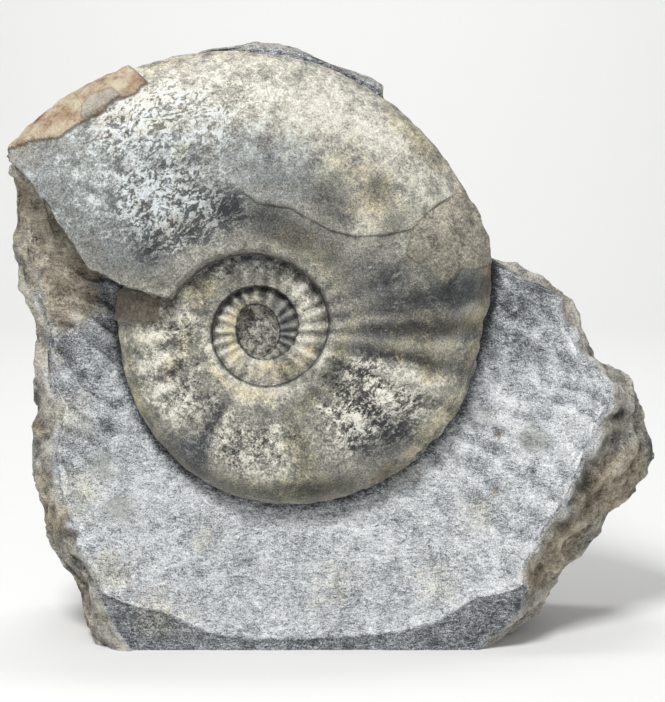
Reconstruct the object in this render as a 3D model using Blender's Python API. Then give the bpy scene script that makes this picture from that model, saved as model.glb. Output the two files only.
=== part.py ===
"""An ammonite fossil standing proud of the block of stone that it was found in.

The slab frame is the one that the fossil is measured in: u to the right, v up the slab and w out of it,
with its origin at the centre of the coil, on the shell's middle plane. The slab leans back a little, and
to_world() turns a slab point into one with +Z up and the sawn base at Z = 0. Lengths are in metres.
"""

import math

import bmesh
import bpy
import numpy as np
from mathutils import Vector, noise

LEAN = math.radians(8.0)
COIL_HEIGHT = 0.1513
ORIGIN_SHIFT_X = -0.0354
ORIGIN_SHIFT_Y = -0.0010

# The coil is read at turn angles in degrees, clockwise from the broken mouth, seen from the front.
MOUTH_ANGLE = 160.0
FULL_TURN = 360.0
LAST_TURN = 970.0
COLUMNS_PER_TURN = 120
FLANK_ROWS = 5

RIM_RADIUS = [
    (-5, 0.1570), (15, 0.1552), (30, 0.1510), (60, 0.1425), (90, 0.1340), (120, 0.1246), (140, 0.1205),
    (150, 0.1160), (160, 0.1100), (180, 0.1060), (210, 0.0960), (240, 0.0875), (270, 0.0805),
    (300, 0.0745), (330, 0.0718), (360, 0.0735), (380, 0.0700), (420, 0.0600), (480, 0.0520),
    (540, 0.0440), (600, 0.0380), (660, 0.0320), (720, 0.0280), (780, 0.0250), (840, 0.0220),
    (900, 0.0190), (1000, 0.0150), (1360, 0.0090),
]
SEAM_RADIUS = [
    (-5, 0.0462), (60, 0.0386), (120, 0.0343), (150, 0.0329), (180, 0.0304), (215, 0.0278), (260, 0.0260),
    (300, 0.0249), (340, 0.0246), (380, 0.0240), (420, 0.0226), (450, 0.0214), (490, 0.0190),
    (540, 0.0160), (570, 0.0143), (610, 0.0134), (700, 0.0127), (745, 0.0146), (765, 0.0144), (790, 0.0128),
    (820, 0.0107), (850, 0.0088), (885, 0.0083), (926, 0.0092), (950, 0.0107), (980, 0.0124), (1360, 0.0030),
]
HALF_THICKNESS = [
    (-5, 0.0330), (90, 0.0300), (150, 0.0262), (210, 0.0222), (270, 0.0188), (330, 0.0162), (360, 0.0152),
    (450, 0.0125), (540, 0.0105), (630, 0.0090), (720, 0.0078), (810, 0.0066), (900, 0.0057),
    (1000, 0.0049), (1360, 0.0025),
]
FLANK_CREST = 0.36
SHOULDER_DROP = 0.26
WALL_WIDTH_SHARE = 0.024
ROW_SPREAD = 1.6
RIM_ROW_SPREAD = 1.35

# How far round the broken mouth's edge lags the coil, in degrees, by its share of the way to the rim.
MOUTH_LAG = [
    (0.00, -1.0), (0.15, 0.0), (0.30, 4.7), (0.48, 9.0), (0.58, 11.0), (0.77, 13.3), (1.00, 14.5),
]
MOUTH_FADE = 40.0

# The turn angle of each rib's crest, and how high the ribs stand along the coil.
RIB_CRESTS = [
    107, 119, 131, 143, 155, 164.5, 177.5, 188, 202, 214, 227, 241, 254, 268, 283, 296, 310, 324, 337, 352,
    367, 383, 397, 413, 428, 441, 454, 472, 489, 501, 516, 530, 547, 561, 577, 594, 610, 626, 641, 655,
    671, 686, 701, 719, 733, 750, 763, 781, 803, 828, 846, 869, 886, 904, 922, 940, 958, 976,
]
RIB_HEIGHT = [
    (-5, 0.0), (95, 0.0), (120, 0.0004), (140, 0.0009), (155, 0.0013), (180, 0.0012), (210, 0.0007),
    (250, 0.0003), (290, 0.0005), (325, 0.0009), (355, 0.0007), (400, 0.0004), (450, 0.0007), (500, 0.0009),
    (545, 0.0009), (590, 0.0004), (640, 0.0005), (680, 0.0009), (760, 0.0010), (880, 0.0010), (980, 0.0006),
]

# Where the ribs start, as a share of the way from seam to rim, and the shares over which they rise and fall.
RIB_START = [(0, 0.17), (300, 0.15), (400, 0.05), (1000, 0.0)]
RIB_RISE = 0.28
RIB_FALL = 0.24

# Raised patches on the shell, as (outline in slab u and v, height, width of the sloping edge).
CRUST = [
    (-0.1290, 0.0890), (-0.1120, 0.1080), (-0.0950, 0.1210), (-0.0800, 0.1330), (-0.0680, 0.1330),
    (-0.0558, 0.1217), (-0.0622, 0.1153), (-0.0706, 0.1133), (-0.0790, 0.1059), (-0.0874, 0.1020),
    (-0.0947, 0.0966), (-0.1002, 0.0936), (-0.1096, 0.0936), (-0.1179, 0.0916),
]
REMNANT = [
    (-0.0740, 0.0200), (-0.0661, 0.0211), (-0.0518, 0.0191), (-0.0499, 0.0122), (-0.0508, 0.0058),
    (-0.0573, 0.0048), (-0.0740, 0.0060),
]
SHELL_LAYER = [
    (0.0702, 0.0374), (0.0737, 0.0496), (0.0800, 0.0570), (0.0898, 0.0643), (0.0971, 0.0692),
    (0.1069, 0.0619), (0.1150, 0.0472), (0.1160, 0.0350), (0.1045, 0.0301), (0.0981, 0.0311),
    (0.0947, 0.0266), (0.0898, 0.0218), (0.0864, 0.0237), (0.0825, 0.0291), (0.0751, 0.0340),
]
PATCHES = [(CRUST, 0.0022, 0.0040), (REMNANT, 0.0013, 0.0030), (SHELL_LAYER, 0.0008, 0.0030)]

# Under the rim, as (distance in from the outline, depth), down to the shell's flat back.
UNDER_RIM = [(0.0030, -0.006), (0.0070, -0.014)]
CORE_CENTRE = (-0.0022, 0.0012)
CORE_DEPTH = 0.0016
CORE_RINGS = 3

# The socket's wall, as (distance in from the shell's outline, depth).
SOCKET_FLOOR = (0.0062, -0.0143)
SOCKET_LID = (-0.0020, 0.0040)

# The block, by polar angle in degrees about the centre of the coil.
RIM_LEVEL = [
    (-180, -0.011), (-150, -0.008), (-120, -0.007), (20, -0.007), (60, -0.006), (140, -0.006),
    (150, -0.012), (165, -0.013),
]
EDGE_LEVEL = [
    (-165, -0.007), (-150, 0.001), (-135, 0.012), (-121, 0.0245), (-44, 0.0245), (-30, 0.018), (-20, 0.013),
    (-10, 0.007), (0, 0.000), (18, -0.007), (60, -0.006), (140, -0.006), (150, -0.012), (165, -0.013),
    (180, -0.011),
]
SCOOP_EDGE = [
    (-121, 0.1486), (-114, 0.1466), (-109, 0.1432), (-104, 0.1460), (-99, 0.1482), (-89, 0.1490),
    (-77, 0.1520), (-69, 0.1573), (-65, 0.1602), (-58, 0.1640), (-51, 0.1660), (-46, 0.1750),
    (-44, 0.1770),
]
FRONT_EDGE = [
    (-166, 0.1100), (-159, 0.1075), (-152, 0.1177), (-147, 0.1228), (-143, 0.1264), (-140, 0.1298),
    (-136, 0.1337), (-133, 0.1337), (-131, 0.1389), (-127, 0.1418), (-124, 0.1450), (-121, 0.1505),
    (-116, 0.1605), (-111.7, 0.1680), (-109, 0.1820), (-90, 0.1750), (-70, 0.1850), (-58, 0.2050),
    (-56, 0.1885), (-53.7, 0.1870), (-50.7, 0.1865), (-47.5, 0.1850), (-45.8, 0.1820), (-43.7, 0.1787),
    (-41, 0.1724), (-37.5, 0.1735), (-35, 0.1702), (-28.6, 0.1720), (-22, 0.1717), (-15.5, 0.1731),
    (-12.6, 0.1760), (-9.6, 0.1757), (-6.5, 0.1690), (-4.6, 0.1605), (0.7, 0.1535), (3.5, 0.1505),
    (6, 0.1510), (8, 0.1470), (11, 0.1355), (14, 0.1290), (18, 0.1190), (20, 0.1155), (25, 0.1155),
    (35, 0.1170), (45, 0.1195), (55, 0.1235), (63.1, 0.1300), (64.2, 0.1360), (67.7, 0.1372),
    (73.9, 0.1380), (78.6, 0.1400), (84.7, 0.1422), (91.6, 0.1437), (98.6, 0.1438), (102.8, 0.1438),
    (107.7, 0.1405), (113, 0.1415), (124, 0.1450), (132, 0.1465), (140, 0.1490), (146.7, 0.1480),
    (148.4, 0.1400), (155.3, 0.1319), (163, 0.1242), (168, 0.1184), (173.4, 0.1136), (179.5, 0.1088),
]
WIDEST = [
    (-173.7, 0.1146), (-170.5, 0.1155), (-166.9, 0.1185), (-163.5, 0.1210), (-160.6, 0.1232),
    (-158.3, 0.1273), (-153.9, 0.1310), (-147.2, 0.1375), (-143.5, 0.1410), (-140.3, 0.1445),
    (-137.3, 0.1470), (-134.4, 0.1500), (-130.8, 0.1520), (-127.8, 0.1560), (-124.6, 0.1615),
    (-121.9, 0.1680), (-119.2, 0.1725), (-117.1, 0.1762), (-114, 0.1900), (-90, 0.1780), (-70, 0.1880),
    (-58, 0.2080), (-56, 0.1900), (-53.6, 0.1915), (-50, 0.1920), (-47.2, 0.1940), (-45.7, 0.1980),
    (-42.4, 0.1965), (-38, 0.1945), (-35, 0.1960), (-31, 0.2020), (-28, 0.2010), (-26, 0.2040),
    (-23.3, 0.2095), (-19.3, 0.2085), (-18, 0.2110), (-16.4, 0.2085), (-14, 0.2003), (-11.2, 0.1970),
    (-9, 0.1900), (-7.3, 0.1845), (-6.4, 0.1774), (-4.6, 0.1645), (0.7, 0.1570), (3.5, 0.1540),
    (6, 0.1545), (8, 0.1505), (11, 0.1390), (14, 0.1325), (18, 0.1222), (20, 0.1180), (25, 0.1180),
    (35, 0.1195), (45, 0.1220), (55, 0.1260), (63.1, 0.1330), (64.2, 0.1375), (67.7, 0.1387),
    (73.9, 0.1393), (78.6, 0.1412), (84.7, 0.1436), (91.6, 0.1451), (98.6, 0.1452), (102.8, 0.1456),
    (107.7, 0.1425), (113, 0.1430), (124, 0.1470), (132, 0.1485), (140, 0.1510), (146.7, 0.1515),
    (149.3, 0.1468), (156, 0.1380), (163.7, 0.1306), (168.4, 0.1246), (173.6, 0.1195), (179.4, 0.1165),
]
WIDEST_LEVEL = [
    (-175, -0.018), (-140, -0.008), (-118, 0.006), (-90, 0.0), (-57, -0.002), (-45, -0.016), (-30, -0.026),
    (-10, -0.024), (5, -0.018), (60, -0.014), (150, -0.018),
]
STRIP_Y = -0.0420
BACK_Y = 0.0500
BACK_NARROWING = 0.91
BACK_SHARES = (0.62, 0.3)
SCOOP_CURVE = 1.15
SCOOP_ROW_SPREAD = 0.85
EDGE_SHARE = 0.985
SCOOP_ROWS = 6
RIM_OVERHANG = 0.0008
EDGE_DROP = 0.0010
SIDE_BULGE = 0.0035
HIDDEN_ROUGHNESS = 0.12
PROUD_ROCK = 0.012
BROKEN_ROUGHNESS = 0.018
BROKEN_RELIEF = 0.003
BROKEN_GRAIN = 0.028
SCOOP_RELIEF = 0.0006
SCOOP_GRAIN = 0.034
BACK_GRAIN = 0.075

SHELL_COLOUR = (0.46, 0.44, 0.37, 1.0)
STONE_COLOUR = (0.36, 0.37, 0.38, 1.0)
SHELL_ROUGHNESS = 0.62
STONE_ROUGHNESS = 0.92


def clear_scene():
    """Removes every object of the scene."""
    for obj in list(bpy.data.objects):
        bpy.data.objects.remove(obj)


def through(knots, places):
    """A smooth curve through (place, value) knots, read at the given places."""
    x, y = np.array(knots, float).T
    slope = np.gradient(y, x)
    at = np.clip(places, x[0], x[-1])
    i = np.clip(np.searchsorted(x, at, side="right") - 1, 0, len(x) - 2)
    step = x[i + 1] - x[i]
    t = (at - x[i]) / step
    start = (2 * t**3 - 3 * t**2 + 1) * y[i] + (t**3 - 2 * t**2 + t) * step * slope[i]
    end = (3 * t**2 - 2 * t**3) * y[i + 1] + (t**3 - t**2) * step * slope[i + 1]
    return start + end


def around(outline, angles):
    """A value that changes with polar angle, read at the given angles, in degrees."""
    places, values = np.array(outline, float).T
    return np.interp(angles, places, values, period=FULL_TURN)


def to_world(points):
    """Slab points as world points, with the slab leaning back and the base at Z = 0."""
    u, v, w = np.asarray(points, float).T
    x = u + ORIGIN_SHIFT_X
    y = v * math.sin(LEAN) - w * math.cos(LEAN) + ORIGIN_SHIFT_Y
    z = v * math.cos(LEAN) + w * math.sin(LEAN) + COIL_HEIGHT
    return np.stack([x, y, z], axis=1)


def upright_level(y, v):
    """The slab depth w, at slab height v, of an upright plane at that world Y before the origin's shift."""
    return (v * math.sin(LEAN) - y) / math.cos(LEAN)


def roughness(points, size):
    """Smooth noise from -1 to 1 with features of about that size, at slab points."""
    return np.array([noise.noise(Vector(p) / size) for p in points])


def polar(angles, radii):
    """Slab u and v of polar angles in degrees and radii."""
    turned = np.radians(angles)
    return radii * np.cos(turned), radii * np.sin(turned)


def whorl_profile(turn, share):
    """How far a plain whorl stands out of the middle plane, by its share of the way from seam to rim."""
    outer = np.clip((share - FLANK_CREST) / (1 - FLANK_CREST), 0, 1)
    inner = np.clip((FLANK_CREST - share) / FLANK_CREST, 0, 1)
    shape = (1 - outer**2.2) ** 0.65 - SHOULDER_DROP * inner**2
    return through(HALF_THICKNESS, turn) * shape


def depth_inside(u, v, outline):
    """How far inside a closed outline each point lies, negative outside it."""
    start = np.array(outline)
    side = np.roll(start, -1, axis=0) - start
    from_start = np.stack([u, v], axis=1)[:, None, :] - start
    along = np.clip((from_start * side).sum(axis=2) / (side**2).sum(axis=1), 0, 1)
    distance = np.linalg.norm(from_start - along[..., None] * side, axis=2).min(axis=1)
    past_start = from_start[..., 1] >= 0
    past_end = from_start[..., 1] - side[:, 1] >= 0
    turning = from_start[..., 0] * side[:, 1] - from_start[..., 1] * side[:, 0]
    crossings = (past_start & ~past_end & (turning < 0)) | (~past_start & past_end & (turning > 0))
    return np.where(crossings.sum(axis=1) % 2 == 1, distance, -distance)


def patch_relief(u, v):
    """The height that the raised patches add to the shell."""
    total = np.zeros(len(u))
    for outline, height, slope in PATCHES:
        total += height * np.clip(0.5 + depth_inside(u, v, outline) / slope, 0, 1)
    return total


def share_across(turn, radius):
    """The share of the way from seam to rim of a radius, at a turn angle."""
    seam = through(SEAM_RADIUS, turn)
    return np.clip((radius - seam) / (through(RIM_RADIUS, turn) - seam), 0, 1)


def rib_wave(turn):
    """1 on the crest of each rib and -1 in the gap between two ribs."""
    return np.cos(2 * np.pi * np.interp(turn, RIB_CRESTS, np.arange(len(RIB_CRESTS))))


def rib_relief(turn, share):
    """The height of the ribs, which fade towards the umbilicus and the rim."""
    rise = np.clip((share - np.interp(turn, *np.array(RIB_START).T)) / RIB_RISE, 0, 1)
    fall = np.clip((1 - share) / RIB_FALL + 0.1, 0, 1)
    across = np.sin(np.pi / 2 * rise) * np.sin(np.pi / 2 * fall)
    return through(RIB_HEIGHT, turn) * across * rib_wave(turn)


def flank_level(turn, radius):
    """The height of a whorl's flank, with its ribs, as if no whorl lay over it."""
    share = share_across(turn, radius)
    return whorl_profile(turn, share) + rib_relief(turn, share)


def whorl_level(turn, radius):
    """The height of the coil's surface: the umbilical wall rises from the whorl inside to the flank."""
    share = share_across(turn, radius)
    flank = flank_level(turn, radius)
    foot = flank_level(turn + FULL_TURN, radius)
    climb = np.clip(share / WALL_WIDTH_SHARE, 0, 1)
    return foot + (flank - foot) * (1 - (1 - climb) ** 2.2)


def shell_outline(angles):
    """The radius of the coil's outline at polar angles, with the broken mouth's edge as its step."""
    turn = np.mod(MOUTH_ANGLE - np.asarray(angles, float), FULL_TURN)
    share, lag = np.array(MOUTH_LAG).T
    step_foot = through(RIM_RADIUS, FULL_TURN)
    mouth = step_foot + (through(RIM_RADIUS, turn) - step_foot) * np.interp(turn, lag, share)
    return np.where(turn < lag[-1], mouth, through(RIM_RADIUS, turn))


def inward(plan, distance):
    """A clockwise outline, moved in by a distance."""
    along = np.roll(plan, -1, axis=0) - np.roll(plan, 1, axis=0)
    along /= np.linalg.norm(along, axis=1)[:, None]
    return plan + distance * np.stack([along[:, 1], -along[:, 0]], axis=1)


class CoilMesh:
    """The coil as one closed surface: whorl strips with shared seams, a core, a mouth and a flat back."""

    def __init__(self):
        self.points = []
        self.faces = []
        self.turn_columns = COLUMNS_PER_TURN
        self.last_column = round(LAST_TURN / FULL_TURN * COLUMNS_PER_TURN)
        self.rows = {}
        self.back = {}
        self.add_whorls()
        self.add_under_rim()
        self.add_core()
        self.add_mouth_and_back()

    def add(self, u, v, w):
        self.points.append((float(u), float(v), float(w)))
        return len(self.points) - 1

    def column(self, i):
        """Turn angles, radii and levels of one column, from the seam to the rim or to the next seam."""
        turn = i * FULL_TURN / self.turn_columns
        seam = through(SEAM_RADIUS, turn)
        step = turn / FULL_TURN
        join = through(RIM_RADIUS, FULL_TURN) * (1 - step) + through(SEAM_RADIUS, 0.0) * step
        if turn >= FULL_TURN:
            join = through(SEAM_RADIUS, turn - FULL_TURN)
        t = np.linspace(0, 1, FLANK_ROWS + 1)
        fade = math.exp(-turn / MOUTH_FADE)
        turns = turn - t * fade
        radii = seam + (join - seam) * t**ROW_SPREAD
        if turn <= FULL_TURN:
            outward = 1 - (1 - t[1:]) ** RIM_ROW_SPREAD
            lagged = turn + np.interp(outward, *np.array(MOUTH_LAG).T) * fade
            rim = through(RIM_RADIUS, lagged)
            turns = np.concatenate([turns, lagged])
            radii = np.concatenate([radii, join + (rim - join) * outward])
        return turns, radii, whorl_level(turns, radii)

    def add_whorls(self):
        n = self.turn_columns
        for i in range(self.last_column + 1):
            turns, radii, levels = self.column(i)
            u, v = polar(MOUTH_ANGLE - turns, radii)
            if i <= n:
                levels = levels + patch_relief(u, v)
            self.rows[i] = []
            for j in range(len(radii)):
                shared = i >= n and j == FLANK_ROWS
                self.rows[i].append(self.rows[i - n][0] if shared else self.add(u[j], v[j], levels[j]))
        for i in range(self.last_column):
            count = min(len(self.rows[i]), len(self.rows[i + 1]))
            for j in range(count - 1):
                a, b = self.rows[i], self.rows[i + 1]
                self.faces.append((a[j], a[j + 1], b[j + 1], b[j]))

    def outline(self):
        """The coil's outline seen from the front: the rim clockwise from the mouth, then up the mouth."""
        rim = [self.rows[i][-1] for i in range(self.turn_columns + 1)]
        mouth = self.rows[0][FLANK_ROWS + 1 : -1]
        return np.array([self.points[k][:2] for k in rim + mouth])

    def add_under_rim(self):
        """The rim turns under, to the flat back."""
        count = self.turn_columns + 1
        plan = self.outline()
        for i in range(count):
            self.back[i] = [self.rows[i][-1]]
        for distance, level in UNDER_RIM:
            inner = inward(plan, distance)
            for i in range(count):
                self.back[i].append(self.add(*inner[i], level))
        self.ground = [self.add(*place, level) for place in inner[count:]]
        for i in range(self.turn_columns):
            a, b = self.back[i], self.back[i + 1]
            for k in range(len(a) - 1):
                self.faces.append((a[k], a[k + 1], b[k + 1], b[k]))

    def add_core(self):
        """The broken middle of the coil: rings from the last turn's inner edge to a sunken centre."""
        first = self.last_column - self.turn_columns
        loop = [self.rows[i][0] for i in range(first, self.last_column + 1)]
        loop += self.rows[self.last_column][1:FLANK_ROWS]
        edge = np.array([self.points[k] for k in loop])
        floor = edge[:, 2].min() - CORE_DEPTH
        centre = np.array([*CORE_CENTRE, floor])
        previous = loop
        for ring in range(1, CORE_RINGS):
            share = ring / CORE_RINGS
            places = edge * (1 - share) + centre * share
            places[:, 2] = np.minimum(places[:, 2], floor + (1 - share) * CORE_DEPTH)
            current = [self.add(*p) for p in places]
            for k in range(len(loop)):
                after = (k + 1) % len(loop)
                self.faces.append((previous[k], previous[after], current[after], current[k]))
            previous = current
        middle = self.add(*centre)
        for k in range(len(loop)):
            self.faces.append((previous[k], previous[(k + 1) % len(loop)], middle))

    def add_mouth_and_back(self):
        """The broken mouth stands on the whorl inside it, and on the back plane past that whorl's rim."""
        upper = self.rows[0] + self.back[0][1:]
        lower = self.rows[self.turn_columns][FLANK_ROWS:] + self.back[self.turn_columns][1:]
        lower += self.ground + [self.back[0][-1]]
        for k in range(len(upper) - 1):
            corners = (upper[k], upper[k + 1], lower[k + 1], lower[k])
            kept = list(dict.fromkeys(corners))
            if len(kept) > 2:
                self.faces.append(kept)
        self.faces.append([self.back[i][-1] for i in range(self.turn_columns + 1)] + self.ground)


def scoop_edge(angles):
    """Where the scooped face ends: at its ridge over the front strip, or just inside the front edge."""
    front = around(FRONT_EDGE, angles)
    places, radii = np.array(SCOOP_EDGE).T
    over_strip = (angles > places[0]) & (angles < places[-1])
    return np.where(over_strip, np.interp(angles, places, radii), front * EDGE_SHARE)


def scoop_level(angles, radii):
    """The depth of the scooped face, which climbs from the shell's rim to its edge."""
    rim = shell_outline(angles)
    share = np.clip((radii - rim) / np.maximum(scoop_edge(angles) - rim, 0.001), 0, 1)
    low = around(RIM_LEVEL, angles)
    high = np.minimum(around(EDGE_LEVEL, angles), strip_level(angles, scoop_edge(angles)))
    return low + (high - low) * share**SCOOP_CURVE


def strip_level(angles, radii):
    """The depth of the upright strip along the foot of the front."""
    return upright_level(STRIP_Y, radii * np.sin(np.radians(angles)))


def block_rings(plan):
    """Rings of points round the block: the socket, the scooped face, the edges, the sides and the back."""
    angles = np.degrees(np.arctan2(plan[:, 1], plan[:, 0]))
    outline = np.hypot(plan[:, 0], plan[:, 1])
    rim_level = around(RIM_LEVEL, angles)
    floor_inset, floor_level = SOCKET_FLOOR
    lid_inset, lid_level = SOCKET_LID
    rise = (rim_level - floor_level) / (lid_level - floor_level)
    inset = floor_inset + (lid_inset - floor_inset) * rise
    floor = inward(plan, floor_inset)
    brink = inward(plan, inset[:, None])
    rings = [(floor, np.full(len(plan), floor_level))]
    edge = np.maximum(scoop_edge(angles), outline - RIM_OVERHANG)
    edge_place = np.stack(polar(angles, edge), axis=1)
    for share in np.linspace(0, 1, SCOOP_ROWS) ** SCOOP_ROW_SPREAD:
        place = brink + (edge_place - brink) * share
        radii = np.hypot(place[:, 0], place[:, 1])
        around_place = np.degrees(np.arctan2(place[:, 1], place[:, 0]))
        level = np.minimum(scoop_level(around_place, radii), strip_level(around_place, radii))
        rings.append((place, rim_level if share == 0 else level))
    front = np.maximum(around(FRONT_EDGE, angles), edge)
    on_strip = (angles > SCOOP_EDGE[0][0]) & (angles < SCOOP_EDGE[-1][0])
    front_level = np.where(on_strip, strip_level(angles, front), rings[-1][1] - EDGE_DROP)
    rings.append((np.stack(polar(angles, front), axis=1), front_level))
    widest = np.maximum(around(WIDEST, angles), front)
    proud = np.clip((widest - outline) / PROUD_ROCK, HIDDEN_ROUGHNESS, 1)
    widest_level = np.minimum(around(WIDEST_LEVEL, angles), front_level - EDGE_DROP)
    for share in (0.5, 1.0):
        radii = front + (widest - front) * share + SIDE_BULGE * proud * math.sin(math.pi * share)
        level = front_level + (widest_level - front_level) * share
        rings.append((np.stack(polar(angles, radii), axis=1), level))
    for share in (0.5, 1.0):
        radii = widest * (1 - (1 - BACK_NARROWING) * share**2)
        back_level = upright_level(BACK_Y, radii * np.sin(np.radians(angles)))
        level = widest_level + (back_level - widest_level) * share
        rings.append((np.stack(polar(angles, radii), axis=1), level))
    for share in BACK_SHARES:
        radii = widest * BACK_NARROWING * share
        level = upright_level(BACK_Y, radii * np.sin(np.radians(angles)))
        rings.append((np.stack(polar(angles, radii), axis=1), level))
    return rings, proud


def block_mesh(plan):
    """The block before its base is sawn, rough where the stone is broken and smoother in the scoop."""
    points = []
    rings, proud = block_rings(plan)
    broken_from = SCOOP_ROWS + 1
    back_from = broken_from + 5
    for k, (place, level) in enumerate(rings):
        ring = np.column_stack([place, level])
        if k > broken_from:
            ring[:, :2] *= 1 + (BROKEN_ROUGHNESS * proud * roughness(ring, BROKEN_GRAIN))[:, None]
        if k > 1:
            amount = BROKEN_RELIEF if k > broken_from else SCOOP_RELIEF
            grain = BACK_GRAIN if k >= back_from else SCOOP_GRAIN
            ring[:, 2] += amount * roughness(ring + BROKEN_GRAIN, grain)
        points += ring.tolist()
    n = len(plan)
    points.append((0.0, 0.0, upright_level(BACK_Y, 0.0)))
    faces = [list(range(n))]
    for k in range(n):
        after = (k + 1) % n
        for ring in range(len(rings) - 1):
            a, b = ring * n, (ring + 1) * n
            faces.append((a + k, b + k, b + after, a + after))
        last = (len(rings) - 1) * n
        faces.append((last + k, len(points) - 1, last + after))
    return points, faces


def add_object(name, points, faces, colour, roughness_value):
    """A named mesh object with its own material, shaded smooth but for its sharp edges."""
    mesh = bpy.data.meshes.new(name)
    mesh.from_pydata(to_world(points).tolist(), [], faces)
    turned = bmesh.new()
    turned.from_mesh(mesh)
    bmesh.ops.recalc_face_normals(turned, faces=turned.faces)
    turned.to_mesh(mesh)
    turned.free()
    material = bpy.data.materials.new(name)
    material.use_nodes = True
    shader = material.node_tree.nodes["Principled BSDF"]
    shader.inputs["Base Color"].default_value = colour
    shader.inputs["Roughness"].default_value = roughness_value
    shader.inputs["Metallic"].default_value = 0.0
    mesh.materials.append(material)
    mesh.shade_smooth()
    mesh.set_sharp_from_angle(angle=math.radians(38))
    obj = bpy.data.objects.new(name, mesh)
    bpy.context.scene.collection.objects.link(obj)
    return obj


def saw_base(obj):
    """Cuts the block flat at Z = 0 and closes the cut with one face."""
    cut = bmesh.new()
    cut.from_mesh(obj.data)
    parts = cut.verts[:] + cut.edges[:] + cut.faces[:]
    down = (0, 0, -1)
    bmesh.ops.bisect_plane(cut, geom=parts, dist=1e-6, plane_co=(0, 0, 0), plane_no=down, clear_outer=True)
    bmesh.ops.holes_fill(cut, edges=[e for e in cut.edges if e.is_boundary], sides=0)
    bmesh.ops.recalc_face_normals(cut, faces=cut.faces)
    cut.to_mesh(obj.data)
    cut.free()


def main():
    clear_scene()
    coil = CoilMesh()
    add_object("ammonite", coil.points, coil.faces, SHELL_COLOUR, SHELL_ROUGHNESS)
    block = add_object("matrix", *block_mesh(coil.outline()), STONE_COLOUR, STONE_ROUGHNESS)
    saw_base(block)


main()
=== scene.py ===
"""An ammonite standing proud of its stone, as two pieces with procedural stone materials.

The slab frame is the one that the fossil is measured in: u to the right, v up the slab and w out of it,
with its origin at the centre of the coil, on the shell's middle plane. The slab leans back a little, and
to_world() turns a slab point into one with +Z up and the sawn base at Z = 0. Lengths are in metres.
"""

import math

import bmesh
import bpy
import numpy as np
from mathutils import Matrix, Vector, noise


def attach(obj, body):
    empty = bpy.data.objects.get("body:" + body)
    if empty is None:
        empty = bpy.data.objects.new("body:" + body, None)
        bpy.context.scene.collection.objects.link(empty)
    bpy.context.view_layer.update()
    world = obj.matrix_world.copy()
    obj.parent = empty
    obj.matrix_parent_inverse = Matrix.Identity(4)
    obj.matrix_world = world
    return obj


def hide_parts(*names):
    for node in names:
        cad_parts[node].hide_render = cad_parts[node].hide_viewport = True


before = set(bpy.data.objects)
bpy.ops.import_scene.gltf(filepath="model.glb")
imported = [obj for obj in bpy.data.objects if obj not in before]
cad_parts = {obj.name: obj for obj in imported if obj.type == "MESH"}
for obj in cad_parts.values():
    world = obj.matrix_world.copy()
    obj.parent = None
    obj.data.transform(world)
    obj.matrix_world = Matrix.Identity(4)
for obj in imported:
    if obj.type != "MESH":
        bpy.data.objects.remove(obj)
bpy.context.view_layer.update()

LEAN = math.radians(8.0)
COIL_HEIGHT = 0.1513
ORIGIN_SHIFT_X = -0.0354
ORIGIN_SHIFT_Y = -0.0010

# The coil is read at turn angles in degrees, clockwise from the broken mouth, seen from the front.
MOUTH_ANGLE = 160.0
FULL_TURN = 360.0
OUTER_WHORL_END = 361.0
LAST_TURN = 970.0
COLUMNS_PER_TURN = 480
FLANK_ROWS = 48
MOUTH_ROWS = 26

# The share of the way from seam to rim that the points of the core and of the broken mouth are given.
MIDDLE_SHARE = 0.5

# Radii and half thicknesses by turn angle.
RIM_RADIUS = [
    (-5, 0.1570), (15, 0.1552), (30, 0.1510), (60, 0.1425), (90, 0.1340), (120, 0.1246), (140, 0.1205),
    (150, 0.1160), (160, 0.1100), (180, 0.1060), (210, 0.0960), (240, 0.0875), (270, 0.0805),
    (300, 0.0745), (330, 0.0718), (360, 0.0735), (380, 0.0700), (420, 0.0600), (480, 0.0520),
    (540, 0.0440), (600, 0.0380), (660, 0.0320), (720, 0.0280), (780, 0.0250), (840, 0.0220),
    (900, 0.0190), (1000, 0.0150), (1360, 0.0090),
]
SEAM_RADIUS = [
    (-5, 0.0462), (60, 0.0386), (120, 0.0343), (150, 0.0329), (180, 0.0304), (215, 0.0278), (260, 0.0260),
    (300, 0.0249), (340, 0.0246), (380, 0.0240), (420, 0.0226), (450, 0.0214), (490, 0.0190),
    (540, 0.0160), (570, 0.0143), (610, 0.0134), (700, 0.0127), (745, 0.0146), (765, 0.0144),
    (790, 0.0128), (820, 0.0107), (850, 0.0088), (885, 0.0083), (926, 0.0092), (950, 0.0107),
    (980, 0.0124), (1360, 0.0030),
]
HALF_THICKNESS = [
    (-5, 0.0330), (90, 0.0300), (150, 0.0262), (210, 0.0222), (270, 0.0188), (330, 0.0162), (360, 0.0152),
    (450, 0.0125), (540, 0.0105), (630, 0.0090), (720, 0.0078), (810, 0.0066), (900, 0.0057),
    (1000, 0.0049), (1360, 0.0025),
]

# The section of a whorl by the share of the way from seam to rim, and how its rows of points are spread.
FLANK_CREST = 0.36
FLANK_FALL = 2.2
FLANK_ROUNDING = 0.65
SHOULDER_DROP = 0.26
WALL_WIDTH_SHARE = 0.024
WALL_CURVE = 2.2
ROW_SPREAD = 1.6
RIM_ROW_SPREAD = 1.35
MOUTH_ROW_SPREAD = 1.7

# How far round the broken mouth's edge lags the coil, in degrees, by its share of the way to the rim.
MOUTH_LAG = [
    (0.00, -1.0), (0.15, 0.0), (0.30, 4.7), (0.48, 9.0), (0.58, 11.0), (0.77, 13.3), (1.00, 14.5),
]
MOUTH_FADE = 40.0
TORN_COLUMNS = 5

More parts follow.
